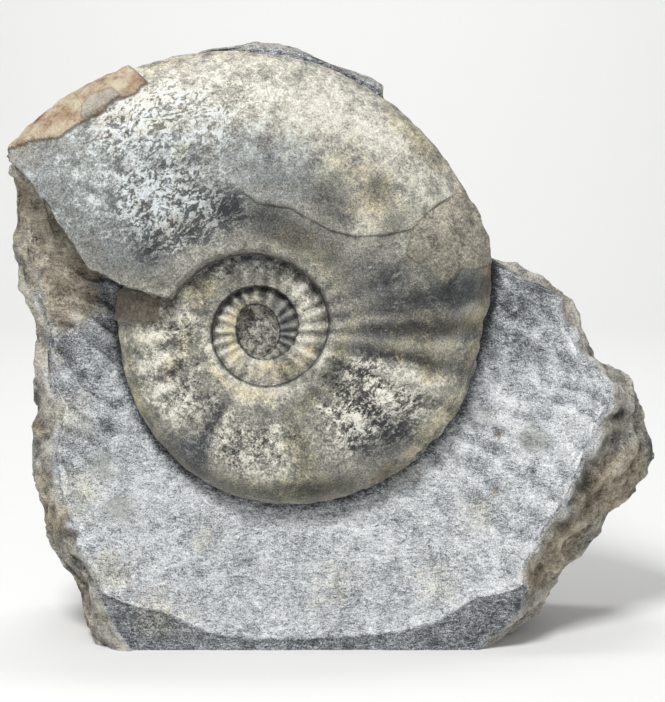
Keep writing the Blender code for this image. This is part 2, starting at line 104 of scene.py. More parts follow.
# The turn angle of each rib's crest, and how high the ribs stand along the coil.
RIB_CRESTS = [
    107, 119, 131, 143, 155, 164.5, 177.5, 188, 202, 214, 227, 241, 254, 268, 283, 296, 310, 324, 337, 352,
    367, 383, 397, 413, 428, 441, 454, 472, 489, 501, 516, 530, 547, 561, 577, 594, 610, 626, 641, 655,
    671, 686, 701, 719, 733, 750, 763, 781, 803, 828, 846, 869, 886, 904, 922, 940, 958, 976,
]
RIB_HEIGHT = [
    (-5, 0.0), (95, 0.0), (120, 0.0004), (140, 0.0009), (155, 0.0013), (180, 0.0012), (210, 0.0007),
    (250, 0.0003), (290, 0.0005), (325, 0.0009), (355, 0.0007), (400, 0.0004), (450, 0.0007), (500, 0.0009),
    (545, 0.0009), (590, 0.0004), (640, 0.0005), (680, 0.0009), (760, 0.0010), (880, 0.0010), (980, 0.0006),
]

# How much more the ribs of the inner whorls differ in tone from their gaps than those of the outer whorl.
INNER_RIB_TURNS = [360, 440]
INNER_RIB_TONE = 1.8

# Where the ribs start, as a share of the way from seam to rim, and how far they rise and fall over it.
RIB_START = [(0, 0.17), (300, 0.15), (400, 0.05), (1000, 0.0)]
RIB_RISE = 0.28
RIB_FALL = 0.24
RIB_END = 0.1

# Raised patches on the shell, by their outlines in slab u and v.
CRUST = [
    (-0.1290, 0.0890), (-0.1120, 0.1080), (-0.0950, 0.1210), (-0.0800, 0.1330), (-0.0680, 0.1330),
    (-0.0558, 0.1217), (-0.0622, 0.1153), (-0.0706, 0.1133), (-0.0790, 0.1059), (-0.0874, 0.1020),
    (-0.0947, 0.0966), (-0.1002, 0.0936), (-0.1096, 0.0936), (-0.1179, 0.0916),
]
REMNANT = [
    (-0.0740, 0.0200), (-0.0661, 0.0211), (-0.0518, 0.0191), (-0.0499, 0.0122), (-0.0508, 0.0058),
    (-0.0573, 0.0048), (-0.0740, 0.0060),
]
SHELL_LAYER = [
    (0.0702, 0.0374), (0.0737, 0.0496), (0.0800, 0.0570), (0.0898, 0.0643), (0.0971, 0.0692),
    (0.1069, 0.0619), (0.1150, 0.0472), (0.1160, 0.0350), (0.1045, 0.0301), (0.0981, 0.0311),
    (0.0947, 0.0266), (0.0898, 0.0218), (0.0864, 0.0237), (0.0825, 0.0291), (0.0751, 0.0340),
]
CRUST_SCALE = [
    (-0.0877, 0.1117), (-0.0838, 0.1152), (-0.0789, 0.1171), (-0.0730, 0.1181), (-0.0681, 0.1147),
    (-0.0730, 0.1117), (-0.0789, 0.1073), (-0.0848, 0.1024), (-0.0877, 0.1044),
]

# The patches, as (outline, height, width of the sloping edge), and the depth at which their measure stops.
PATCHES = {
    "crust": (CRUST, 0.0022, 0.0012),
    "scale": (CRUST_SCALE, 0.0009, 0.0008),
    "remnant": (REMNANT, 0.0013, 0.0010),
    "layer": (SHELL_LAYER, 0.0008, 0.0012),
}
PATCH_DEPTH = 0.01
CRUST_EDGE = 0.001

# Patches, cracks and pits lie only where the plain surface is higher than this.
FRONT_START = 0.0005

# Under the rim, as (distance in from the outline, depth), down to the shell's flat back.
UNDER_RIM = [(0.0015, -0.003), (0.0030, -0.006), (0.0050, -0.010), (0.0070, -0.014)]

# The painted shadow under an umbilical wall: how dark it is, how far it reaches over the whorl inside, and
# its least.
WALL_SHADE = 0.95
WALL_SHADE_REACH = 0.0034
WALL_SHADE_LEAST = 0.2

# The sunken core: its centre, how deep it lies, how quickly it falls to that, and its rings of points.
CORE_CENTRE = (-0.0022, 0.0012)
CORE_DEPTH = 0.0012
CORE_FALL = 9.0
CORE_RINGS = 18

# The socket's wall, as (distance in from the shell's outline, depth).
SOCKET_FLOOR = (0.0062, -0.0143)
SOCKET_LID = (-0.0020, 0.0040)

# The block, by polar angle in degrees about the centre of the coil.
RIM_LEVEL = [
    (-180, -0.011), (-150, -0.008), (-120, -0.007), (20, -0.007), (60, -0.006), (140, -0.006),
    (150, -0.012), (165, -0.013),
]
EDGE_LEVEL = [
    (-165, -0.007), (-150, 0.001), (-135, 0.012), (-121, 0.0245), (-44, 0.0245), (-30, 0.018), (-20, 0.013),
    (-10, 0.007), (0, 0.000), (18, -0.007), (60, -0.006), (140, -0.006), (150, -0.012), (165, -0.013),
    (180, -0.011),
]
SCOOP_EDGE = [
    (-121, 0.1486), (-114, 0.1466), (-109, 0.1432), (-104, 0.1460), (-99, 0.1482), (-89, 0.1490),
    (-77, 0.1520), (-69, 0.1573), (-65, 0.1602), (-58, 0.1640), (-51, 0.1660), (-46, 0.1750),
    (-44, 0.1770),
]
FRONT_EDGE = [
    (-166, 0.1100), (-159, 0.1075), (-152, 0.1177), (-147, 0.1228), (-143, 0.1264), (-140, 0.1298),
    (-136, 0.1337), (-133, 0.1337), (-131, 0.1389), (-127, 0.1418), (-124, 0.1450), (-121, 0.1505),
    (-116, 0.1605), (-111.7, 0.1680), (-109, 0.1820), (-90, 0.1750), (-70, 0.1850), (-58, 0.2050),
    (-56, 0.1885), (-53.7, 0.1870), (-50.7, 0.1865), (-47.5, 0.1850), (-45.8, 0.1820), (-43.7, 0.1787),
    (-41, 0.1724), (-37.5, 0.1735), (-35, 0.1702), (-28.6, 0.1720), (-22, 0.1717), (-15.5, 0.1731),
    (-12.6, 0.1760), (-9.6, 0.1757), (-6.5, 0.1690), (-4.6, 0.1605), (0.7, 0.1535), (3.5, 0.1505),
    (6, 0.1510), (8, 0.1470), (11, 0.1355), (14, 0.1290), (18, 0.1190), (20, 0.1155), (25, 0.1155),
    (35, 0.1170), (45, 0.1195), (55, 0.1235), (63.1, 0.1300), (64.2, 0.1360), (67.7, 0.1372),
    (73.9, 0.1380), (78.6, 0.1400), (84.7, 0.1422), (91.6, 0.1437), (98.6, 0.1438), (102.8, 0.1438),
    (107.7, 0.1405), (113, 0.1415), (124, 0.1450), (132, 0.1465), (140, 0.1490), (146.7, 0.1480),
    (148.4, 0.1400), (155.3, 0.1319), (163, 0.1242), (168, 0.1184), (173.4, 0.1136), (179.5, 0.1088),
]
WIDEST = [
    (-173.7, 0.1146), (-170.5, 0.1155), (-166.9, 0.1185), (-163.5, 0.1210), (-160.6, 0.1232),
    (-158.3, 0.1273), (-153.9, 0.1310), (-147.2, 0.1375), (-143.5, 0.1410), (-140.3, 0.1445),
    (-137.3, 0.1470), (-134.4, 0.1500), (-130.8, 0.1520), (-127.8, 0.1560), (-124.6, 0.1615),
    (-121.9, 0.1680), (-119.2, 0.1725), (-117.1, 0.1762), (-114, 0.1900), (-90, 0.1780), (-70, 0.1880),
    (-58, 0.2080), (-56, 0.1900), (-53.6, 0.1915), (-50, 0.1920), (-47.2, 0.1940), (-45.7, 0.1980),
    (-42.4, 0.1965), (-38, 0.1945), (-35, 0.1960), (-31, 0.2020), (-28, 0.2010), (-26, 0.2040),
    (-23.3, 0.2095), (-19.3, 0.2085), (-18, 0.2110), (-16.4, 0.2085), (-14, 0.2003), (-11.2, 0.1970),
    (-9, 0.1900), (-7.3, 0.1845), (-6.4, 0.1774), (-4.6, 0.1645), (0.7, 0.1570), (3.5, 0.1540),
    (6, 0.1545), (8, 0.1505), (11, 0.1390), (14, 0.1325), (18, 0.1222), (20, 0.1180), (25, 0.1180),
    (35, 0.1195), (45, 0.1220), (55, 0.1260), (63.1, 0.1330), (64.2, 0.1375), (67.7, 0.1387),
    (73.9, 0.1393), (78.6, 0.1412), (84.7, 0.1436), (91.6, 0.1451), (98.6, 0.1452), (102.8, 0.1456),
    (107.7, 0.1425), (113, 0.1430), (124, 0.1470), (132, 0.1485), (140, 0.1510), (146.7, 0.1515),
    (149.3, 0.1468), (156, 0.1380), (163.7, 0.1306), (168.4, 0.1246), (173.6, 0.1195), (179.4, 0.1165),
]
WIDEST_LEVEL = [
    (-175, -0.018), (-140, -0.008), (-118, 0.006), (-90, 0.0), (-57, -0.002), (-45, -0.016), (-30, -0.026),
    (-10, -0.024), (5, -0.018), (60, -0.014), (150, -0.018),
]

# The upright strip and back by world Y, the shape of the faces, and their rows of points.
STRIP_Y = -0.0420
BACK_Y = 0.0500
BACK_NARROWING = 0.91
SCOOP_CURVE = 1.15
SCOOP_ROW_SPREAD = 0.85
EDGE_SHARE = 0.985
RIM_LEVEL_SHARE = 0.05
SCOOP_ROWS = 60
STRIP_ROWS = 16
SIDE_ROWS = 34
BACK_ROWS = 40

# Small steps and bulges of the block's edges, and the size and height of its unevenness.
RIM_OVERHANG = 0.0008
EDGE_DROP = 0.0010
SIDE_BULGE = 0.0035
HIDDEN_ROUGHNESS = 0.12
PROUD_ROCK = 0.012
BROKEN_ROUGHNESS = 0.018
BROKEN_RELIEF = 0.003
BROKEN_GRAIN = 0.028
SCOOP_RELIEF = 0.0006
SCOOP_GRAIN = 0.034
BACK_GRAIN = 0.075
SCOOP_EDGE_REACH = 0.0045
# RIDGE_REACH is how far the painted highlight along the scooped face's edge reaches.
RIDGE_REACH = 0.0030
CLEAR_OF_SHELL = 0.008
SHARP_ANGLE = math.radians(45)

# A long crack whose upper lip stands proud, as slab (u, v) from its left end to its right.
CRACK = [
    (-0.0227, 0.0707), (-0.0104, 0.0682), (-0.0016, 0.0619), (0.0140, 0.0594), (0.0336, 0.0487),
    (0.0458, 0.0457), (0.0605, 0.0467), (0.0737, 0.0496), (0.0800, 0.0570), (0.0898, 0.0643),
    (0.0947, 0.0668),
]

# Where the crack fades in and out, as shares of its length, its lip's rise and reach, and its groove.
CRACK_ENDS = ((0, 0.03), (1, 0.95))
CRACK_LIP = 0.0010
CRACK_REACH = 0.012
CRACK_GROOVE = 0.0007
CRACK_WIDTH = 0.0008
LIP_RISE = (-0.0004, 0.0006)

# Pits worn into the shell, as (slab u, v, radius, depth).
SHELL_PITS = [
    (-0.0383, -0.0286, 0.0028, 0.0012), (-0.0415, -0.0174, 0.0055, 0.0011),
    (-0.0119, -0.0487, 0.0024, 0.0008), (0.0037, -0.0526, 0.0022, 0.0008),
    (-0.0183, -0.0594, 0.0026, 0.0007), (0.0030, -0.0497, 0.0017, 0.0006),
    (-0.0320, -0.0159, 0.0024, 0.0006), (-0.0290, -0.0455, 0.0060, 0.0008),
    (0.0520, -0.0300, 0.0040, 0.0005),
]

# Chips and pits in the scooped face, as (slab u, v, radius, depth), and a cut along a line in it.
SCOOP_PITS = [
    (0.1142, -0.0786, 0.0034, 0.0022), (0.1167, -0.0507, 0.0022, 0.0014),
    (0.1275, -0.0330, 0.0030, 0.0008), (-0.0767, -0.0660, 0.0050, 0.0006),
    (-0.0750, -0.0461, 0.0035, 0.0005), (0.0370, -0.0864, 0.0030, 0.0004),
]
SCOOP_CUT = [(0.0045, -0.1110), (0.0140, -0.1128), (0.0240, -0.1134)]
CUT_DEPTH = 0.0010
CUT_WIDTH = 0.0011

# Broken ledges, as (how far apart they lie along slab u, v and w, where each rises as a share of that).
SCOOP_LEDGES = ((0.028, 0.015, 0.030), (0.15, 0.75))
SIDE_LEDGES = ((0.044, 0.031, 0.011), (0.2, 0.8))
LEDGE_HEIGHT = 0.0016
LEDGE_STRAY = 1.3
LEDGE_WAVE = 0.045

# The polar angles over which the scooped face's two broken walls begin and end.
LEFT_WALL = ((-125, -150), (140, 160))
RIGHT_WALL = ((-60, -25), (25, 10))

# Turn angles over which the shell is scaly and its rim is chipped, as (rise, fall) of each.
SCALY_TURNS = ((118, 135), (185, 168))
CHIPPED_TURNS = ((140, 160), (235, 205))
CHIPPED_RIM = (0.86, 1.0)

# The lumps of a narrow whorl are lower, down to a least share of those of a wide one.
WIDE_WHORL = 0.09
LEAST_LUMPS = 0.18

# The noise of each surface, as (form, height, size, octaves, shift of its place), with lengths in metres.
SURFACE_NOISE = {
    "shell": [("lumps", 0.0008, 0.034, 1, 0), ("lumps", 0.0004, 0.011, 3, 3)],
    "shell_grain": [("lumps", 0.00018, 0.0036, 3, 5)],
    "scaly": [("ridges", 0.0006, 0.0085, 3, 7)],
    "wander": [("lumps", 0.0006, 0.004, 3, 9)],
    "crust": [("lumps", 0.0006, 0.012, 3, 11), ("lumps", 0.0003, 0.003, 3, 0)],
    "rim": [("lumps", 0.0005, 0.006, 2, 13)],
    "rim_chips": [("chips", 0.0016, 0.009, 2, 17)],
    "core": [("lumps", 0.0011, 0.0060, 1, 19), ("lumps", 0.0006, 0.0034, 1, 21)],
    "mouth": [("lumps", 0.0014, 0.010, 4, 23)],
    "torn": [("lumps", 0.0011, 0.0075, 3, 27)],
    "scoop": [("lumps", 0.0007, 0.017, 2, 0), ("lumps", 0.0007, 0.0065, 3, 3)],
    "left_wall": [("lumps", 0.0013, 0.013, 4, 5), ("ridges", 0.0009, 0.012, 3, 6)],
    "right_wall": [("lumps", 0.0011, 0.011, 4, 5), ("ridges", 0.0009, 0.011, 3, 8)],
    "scoop_edge": [("chips", 0.0013, 0.0075, 3, 29)],
    "strip": [("lumps", 0.0006, 0.006, 4, 7)],
    "strip_edge": [("chips", 0.0012, 0.008, 3, 33)],
    "side": [("ridges", 0.0030, 0.030, 4, 11), ("lumps", 0.0014, 0.009, 4, 13)],
    "back": [("lumps", 0.0022, 0.030, 4, 17), ("ridges", 0.0020, 0.040, 4, 19)],
}
STRIP_STRETCH = np.array([0.45, 1.0, 1.0])

# How far noise moves the edges of stains: on the shell in degrees and as a share, on the stone in metres.
STRAY_TURN = 2.6
STRAY_SHARE = 0.035
STRAY_SIZE = 0.010
ROCK_STRAY = 0.0022
ROCK_STRAY_SIZE = 0.009

# Measures for the paint are in millimetres. They stop at these values, past which they no longer matter.
MILLIMETRES = 1000
FAR = 9.0
FAR_FROM_SHELL = 50.0
BROKEN_START = 1.5

# Marks on the shell by kind, as (turn, percent of the way to the rim, half length, half width, strength).
SHELL_STAINS_LIGHT_AND_SHADE = {
    # Pale stains; those within 10 percent of the seam at turns 188 to 318 are also painted light on the
    # lower umbilical wall, which faces up.
    "pale": [
        (42, 78, 16, 16, 0.9), (33, 38, 15, 16, 0.6), (50, 62, 14, 8, 0.6), (60, 92, 22, 10, 0.6),
        (80, 75, 24, 24, 0.85), (104, 80, 18, 16, 0.7), (113, 42, 7, 10, 0.7), (125, 90, 5, 10, 0.7),
        (22, 62, 8, 20, 0.4), (54, 42, 8, 10, 0.5), (178, 60, 7, 24, 0.9), (190, 55, 7, 22, 0.75),
        (203, 48, 8, 20, 0.7), (214, 40, 8, 20, 0.55), (242, 58, 10, 24, 0.9), (254, 66, 9, 18, 0.6),
        (262, 42, 14, 14, 0.6), (272, 60, 6, 16, 0.7), (297, 58, 6, 22, 0.8), (308, 62, 6, 24, 0.7),
        (324, 60, 7, 30, 0.8), (337, 66, 6, 26, 0.85), (350, 32, 12, 14, 0.7), (262, 5, 34, 6, 0.9),
        (318, 6, 34, 6, 0.6), (188, 3, 26, 4, 0.6), (186, 93, 8, 8, 0.9), (198, 95, 6, 5, 0.8),
        (366, 42, 8, 20, 0.8), (394, 30, 10, 10, 0.6), (425, 24, 18, 8, 0.5), (470, 25, 12, 16, 0.9),
        (502, 25, 22, 25, 0.95), (540, 20, 20, 22, 0.95), (610, 28, 34, 32, 1), (660, 28, 36, 32, 1),
        (720, 30, 34, 34, 1), (775, 25, 18, 20, 0.6), (258, 10, 30, 9, 1),
    ],
    # Dark stains; those at 93 percent by turns 432 and 795 are painted shadow under the umbilical wall of
    # the whorl outside.
    "dark": [
        (4, 30, 6, 20, 0.45), (16, 20, 8, 10, 0.6), (36, 16, 8, 8, 0.5), (56, 20, 9, 10, 0.8),
        (73, 17, 12, 9, 0.85), (92, 14, 14, 10, 0.65), (46, 47, 6, 7, 0.4), (60, 47, 7, 8, 0.3),
        (72, 36, 10, 8, 0.35), (98, 36, 14, 10, 0.8), (106, 36, 8, 8, 0.5), (109, 58, 4, 8, 0.6),
        (150, 52, 24, 34, 0.45), (112, 18, 14, 10, 0.55), (121, 50, 4, 12, 0.45), (130, 30, 8, 16, 0.6),
        (141, 36, 7, 18, 0.75), (148, 76, 6, 20, 0.95), (152, 48, 7, 20, 0.75), (159, 55, 4, 30, 0.8),
        (171, 55, 3, 30, 0.8), (165, 28, 10, 12, 0.5), (184, 70, 3, 10, 0.6), (199, 76, 7, 14, 0.7),
        (196, 50, 5, 30, 0.7), (188, 66, 3, 10, 0.7), (210, 66, 5, 18, 0.55), (187, 15, 12, 8, 0.7),
        (212, 18, 12, 8, 0.5), (231, 50, 6, 28, 0.5), (232, 88, 16, 9, 0.75), (262, 92, 22, 8, 0.5),
        (279, 78, 9, 18, 0.95), (279, 42, 5, 26, 0.9), (294, 34, 6, 6, 0.8), (293, 90, 12, 10, 0.4),
        (304, 53, 2.2, 5, 1), (316, 50, 4, 16, 0.6), (314, 26, 2.5, 5, 0.8), (330, 44, 3, 14, 0.45),
        (343, 40, 5, 6, 0.6), (356, 45, 6, 8, 0.7), (342, 20, 3, 5, 0.5), (376, 40, 3, 18, 0.6),
        (393, 34, 4, 6, 0.5), (403, 30, 6, 10, 0.7), (415, 55, 26, 10, 0.9), (431, 30, 5, 8, 0.6),
        (445, 35, 5, 22, 0.8), (463, 40, 4, 16, 0.8), (455, 52, 8, 8, 0.7), (480, 42, 4, 16, 0.6),
        (496, 40, 4, 16, 0.75), (510, 48, 4, 12, 0.7), (790, 45, 16, 10, 0.7), (432, 93, 46, 11, 1),
        (795, 93, 46, 12, 0.9), (845, 30, 42, 40, 0.6), (905, 30, 40, 40, 0.5),
    ],
    "blue": [
        (40, 48, 24, 36, 0.8), (76, 42, 18, 22, 0.7), (18, 66, 13, 30, 0.9), (14, 30, 14, 24, 0.7),
        (50, 22, 16, 14, 0.6), (148, 74, 8, 22, 0.8), (279, 76, 10, 20, 0.8), (140, 34, 12, 16, 0.5),
        (200, 70, 16, 20, 0.5), (70, 40, 16, 12, 0.4), (425, 30, 40, 14, 0.5), (860, 30, 60, 40, 0.6),
    ],
    "olive": [
        (112, 54, 8, 14, 0.7), (135, 75, 9, 22, 0.7), (160, 60, 16, 30, 0.7), (105, 10, 40, 7, 0.6),
        (170, 12, 26, 6, 0.6), (218, 22, 26, 7, 0.6), (232, 60, 9, 34, 0.7), (240, 88, 30, 10, 0.6),
        (310, 94, 30, 6, 0.6), (318, 50, 8, 20, 0.5), (332, 30, 14, 20, 0.6), (372, 25, 20, 22, 0.7),
        (446, 30, 8, 20, 0.5), (510, 48, 10, 12, 0.6), (535, 35, 22, 20, 0.5), (580, 30, 26, 30, 0.9),
        (640, 30, 40, 24, 0.5), (712, 20, 50, 24, 0.6), (770, 25, 26, 20, 0.6), (95, 45, 26, 30, 0.3),
    ],
    "yellow": [
        (48, 96, 8, 5, 0.6), (64, 97, 12, 4, 0.5), (108, 95, 12, 8, 0.9), (100, 60, 18, 14, 0.35),
        (44, 66, 10, 5, 0.6), (46, 52, 4, 5, 0.6), (150.5, 74, 1.4, 4, 1), (164, 95, 6, 6, 0.9),
        (186, 93, 10, 9, 1), (198, 96, 6, 5, 0.7), (174, 70, 5, 14, 0.5), (258, 11, 24, 7, 0.9),
        (298, 10, 22, 5, 0.8), (322, 90, 24, 8, 0.5), (335, 70, 12, 16, 0.4), (350, 6, 14, 5, 0.5),
        (610, 25, 30, 20, 0.6), (680, 20, 34, 20, 0.55), (735, 25, 34, 20, 0.5), (500, 15, 40, 12, 0.35),
    ],
    "brown": [
        (142, 97, 12, 4, 0.8), (208, 95, 10, 5, 0.6), (415, 56, 26, 8, 0.8), (171, 62, 3, 24, 0.5),
        (90, 16, 22, 8, 0.4), (158, 86, 5, 10, 0.5), (540, 40, 3, 14, 0.7), (128, 97, 6, 5, 0.5),
    ],
    "fern": [
        (40, 74, 14, 18, 1), (34, 36, 18, 20, 1), (24, 22, 12, 12, 0.7), (52, 20, 16, 12, 0.8),
        (58, 62, 10, 16, 0.5), (190, 55, 16, 30, 0.9), (205, 55, 14, 26, 0.8), (180, 30, 10, 12, 0.7),
        (340, 34, 14, 10, 0.4), (395, 32, 22, 14, 0.4), (130, 30, 10, 14, 0.3), (70, 80, 12, 16, 0.3),
    ],
    "mottled": [
        (190, 55, 20, 34, 0.6), (206, 50, 14, 30, 0.6), (250, 55, 24, 30, 0.9), (280, 55, 14, 34, 0.6),
        (305, 52, 20, 34, 0.9), (338, 50, 22, 34, 0.9), (366, 40, 14, 30, 0.7), (400, 45, 30, 30, 0.9),
        (450, 45, 26, 30, 0.9), (495, 30, 24, 26, 0.6), (140, 45, 20, 30, 0.4), (30, 60, 26, 30, 0.4),
        (340, 12, 22, 12, 0.5),
    ],
    "speck": [
        (246, 50, 14, 22, 0.9), (266, 55, 10, 24, 1), (205, 40, 22, 24, 0.7), (300, 50, 10, 30, 0.6),
        (320, 45, 16, 26, 0.6), (345, 30, 16, 20, 0.7), (285, 30, 12, 20, 0.6), (190, 20, 20, 14, 0.6),
        (415, 28, 40, 18, 0.7), (20, 40, 10, 20, 0.3),
    ],
}

# Marks on the stone by kind, stains and painted shade, as (slab u, slab v, radius, strength), in
# millimetres.
ROCK_STAINS_AND_SHADE = {
    # Painted shade, where the stone lies in shadow, mostly beside the shell.
    "shade": [
        (-90, -5, 30, 1), (-88, 30, 24, 1), (-70, -50, 26, 0.4), (123, 5, 26, 1), (120, 25, 18, 0.9),
        (-108, -18, 12, 0.3), (66, -83, 16, 0.3), (-80, -47, 4, 0.9), (-76, -41, 3, 0.8),
        (133, -50, 12, 0.3), (164, -31, 6, 0.6), (-98, -60, 16, 0.5), (118, 15, 20, 0.6),
    ],
    "tan": [
        (-115, 70, 20, 1), (-108, 40, 17, 1), (-106, 15, 13, 0.8), (-110, -15, 11, 0.5),
        (-116, -48, 10, 0.7), (-110, -74, 9, 0.7), (-103, -93, 10, 0.9), (-96, -128, 10, 0.7),
        (-89, -145, 10, 0.8), (170, -80, 17, 1), (185, -68, 12, 1), (150, -104, 13, 1),
        (137, -118, 12, 0.9), (114.2, -78.6, 2.6, 1), (116.7, -50.7, 2.2, 1), (-90, 90, 12, 0.5),
        (-92, 40, 14, 1), (-93, 15, 13, 0.7), (-98, 65, 14, 1),
    ],
    # Dark spots; the first seven also follow the crease just outside the right front edge, as painted shade
    # where the face falls away.
    "dark": [
        (177.7, -41.5, 4.5, 0.9), (170, -55, 4.5, 0.6), (164.5, -65, 5, 0.6), (161, -75, 6, 0.9),
        (156, -85, 4.5, 0.5), (149.5, -95, 5.5, 0.9), (140, -105, 4.5, 0.6), (-98.5, -98.5, 7, 0.7),
        (-116, -33, 4, 0.6), (-85, 25, 9, 0.4), (-100, 5, 4, 0.7), (125.5, -133, 4, 0.7),
        (-69, -145, 3, 0.6), (118, 28, 6, 0.5), (40, -89.5, 2.2, 0.8),
    ],
    "warm": [
        (-75, -118, 12, 0.8), (70, -70, 12, 0.5), (-50, -140, 14, 0.8), (85, -123, 12, 0.6),
        (-92, -80, 14, 0.7), (105, -90, 12, 0.5), (-30, -102, 10, 0.5), (35, -127, 14, 0.5),
        (-100, -40, 14, 0.7),
    ],
    "green": [
        (133, -52, 9, 0.9), (-80, -67, 8, 0.9), (-72, -88, 9, 0.8), (110, -40, 7, 0.6),
        (-88, -46, 6, 0.6),
    ],
}

# The tones that a stone has from dark to light, as (value, red, green, blue) with display colours.
TONES = {
    "shell": [
        (0.05, 44, 46, 46), (0.28, 92, 92, 88), (0.50, 142, 140, 131), (0.70, 190, 186, 173),
        (0.85, 219, 215, 202), (1.0, 243, 240, 230),
    ],
    "core": [(0.15, 40, 39, 36), (0.5, 104, 102, 95), (0.85, 196, 192, 180)],
    "remnant": [(0.2, 74, 67, 58), (0.5, 128, 118, 105), (0.85, 178, 169, 153)],
    "layer": [(0.15, 84, 82, 76), (0.5, 146, 141, 127), (0.85, 206, 199, 180)],
    "scale": [(0.15, 124, 118, 106), (0.5, 174, 168, 154), (0.85, 212, 206, 192)],
    "crust": [(0.05, 104, 80, 62), (0.35, 158, 130, 104), (0.60, 184, 166, 140), (0.90, 204, 192, 168)],
    "rock": [
        (0.10, 58, 60, 62), (0.35, 120, 124, 127), (0.55, 172, 176, 179), (0.78, 222, 225, 227),
        (1.0, 250, 251, 251),
    ],
    "broken": [(0.15, 52, 51, 49), (0.40, 118, 115, 109), (0.60, 164, 160, 151), (0.85, 214, 210, 199)],
    "tan": [(0.12, 66, 59, 49), (0.42, 142, 131, 112), (0.65, 184, 173, 150), (0.9, 226, 218, 198)],
}
SHELL_TONE = 0.52
ROCK_TONE = 0.64

# Stains that tint the shell, as (kind, display colour, strength).
SHELL_GLAZES = [
    ("blue", (228, 240, 255), 0.9), ("olive", (250, 245, 222), 0.9), ("yellow", (255, 249, 224), 0.8),
    ("brown", (246, 222, 192), 0.9),
]

# The grain is read from a far corner, in mm: about its own origin every size of it would line up in a star.
GRAIN_CORNER = (517.0, 331.0, 173.0)

# Grains from coarse to fine, as (size in mm, detail, roughness).
SHELL_GRAINS = [(9.0, 4.0, 0.6), (3.2, 4.0, 0.65), (1.3, 3.0, 0.7), (0.7, 2.0, 0.8)]
ROCK_GRAINS = [(24.0, 4.0, 0.6), (16.0, 4.0, 0.6), (8.0, 4.0, 0.6), (6.0, 4.0, 0.65), (0.7, 2.0, 0.9)]

# Where the middle of a fan of needles lies from its cell, in cells, and how far the fans' noises lie apart.
FAN_MIDDLE = (0.75, 0.60, 0.0)
FAN_SHIFT = (9.0, 9.0, 9.0)

# The camera's distance from the slab, the slab u and v it looks at, its sensor in mm and the height it sees.
CAMERA_DISTANCE = 0.900
CAMERA_AIM = (0.03475, -0.0095)
CAMERA_SENSOR = 36.0
PHOTO_HEIGHT = 0.351

# The lights, as (name, place, place that it shines at, size, power in watts).
PART_MIDDLE = (0.0, 0.0, 0.15)
LIGHTS = [
    ("key", (-0.35, -0.75, 1.25), PART_MIDDLE, 0.45, 18.6),
    ("fill", (0.7, -1.2, 0.5), PART_MIDDLE, 0.9, 4.0),
    ("backdrop", (0.0, 0.5, 1.7), (0.0, 2.0, 0.6), 0.9, 22.0),
]
WORLD_STRENGTH = 0.28

# The floor's profile along world Y, with its bend up into the backdrop.
FLOOR_FRONT = -1.6
FLOOR_BEND = 1.2
BEND_RADIUS = 0.8
BACKDROP_TOP = 2.6
FLOOR_HALF_WIDTH = 3.0


def through(knots, places):
    """A smooth curve through (place, value) knots, read at the given places."""
    x, y = np.array(knots, float).T
    slope = np.gradient(y, x)
    at = np.clip(places, x[0], x[-1])
    i = np.clip(np.searchsorted(x, at, side="right") - 1, 0, len(x) - 2)
    step = x[i + 1] - x[i]
    t = (at - x[i]) / step
    start = (2 * t**3 - 3 * t**2 + 1) * y[i] + (t**3 - 2 * t**2 + t) * step * slope[i]
    end = (3 * t**2 - 2 * t**3) * y[i + 1] + (t**3 - t**2) * step * slope[i + 1]
    return start + end


def around(outline, angles):
    """A value that changes with polar angle, read at the given angles, in degrees."""
    places, values = np.array(outline, float).T
    return np.interp(angles, places, values, period=FULL_TURN)


def to_world(points):
    """Slab points as world points, with the slab leaning back and the base at Z = 0."""
    u, v, w = np.asarray(points, float).T
    x = u + ORIGIN_SHIFT_X
    y = v * math.sin(LEAN) - w * math.cos(LEAN) + ORIGIN_SHIFT_Y
    z = v * math.cos(LEAN) + w * math.sin(LEAN) + COIL_HEIGHT
    return np.stack([x, y, z], axis=1)


def upright_level(y, v):
    """The slab depth w, at slab height v, of an upright plane at that world Y before the origin's shift."""
    return (v * math.sin(LEAN) - y) / math.cos(LEAN)


def roughness(points, size, octaves=1):
    """Smooth noise from about -1 to 1 with features of about that size, at slab points."""
    if octaves == 1:
        return np.array([noise.noise(Vector(p) / size) for p in points])
    return np.array([noise.fractal(Vector(p) / size, 0.9, 2.0, octaves) for p in points])


def ridges(points, size, octaves):
    """Noise with sharp ridges, from about -1 to 1, at slab points."""
    settings = (1.0, 2.1, octaves, 1.0, 2.0)
    return np.array([noise.ridged_multi_fractal(Vector(p) / size, *settings) for p in points]) - 1


def surface_noise(points, place):
    """The summed lumps, ridges and chips of one kind of surface, at slab points."""
    height = np.zeros(len(points))
    for form, amount, size, octaves, shift in SURFACE_NOISE[place]:
        if form == "ridges":
            height += amount * ridges(points + shift, size, octaves)
        elif form == "chips":
            height -= amount * np.abs(roughness(points + shift, size, octaves))
        else:
            height += amount * roughness(points + shift, size, octaves)
    return height


def smooth(low, high, value):
    """A soft step from 0 at low to 1 at high."""
    t = np.clip((value - low) / (high - low), 0, 1)
    return t * t * (3 - 2 * t)


def within(rise, fall, value):
    """1 inside a stretch and 0 outside it, with soft ends."""
    return smooth(*rise, value) * smooth(*fall, value)


def nearness(distance, reach):
    """1 on a line and falling to 0 at about twice the reach from it."""
    return np.exp(-((distance / reach) ** 2))


def polar(angles, radii):
    """Slab u and v of polar angles in degrees and radii."""
    turned = np.radians(angles)
    return radii * np.cos(turned), radii * np.sin(turned)


def angles_and_radii(points):
    """Polar angles in degrees and radii of slab points."""
    return np.degrees(np.arctan2(points[:, 1], points[:, 0])), np.hypot(points[:, 0], points[:, 1])


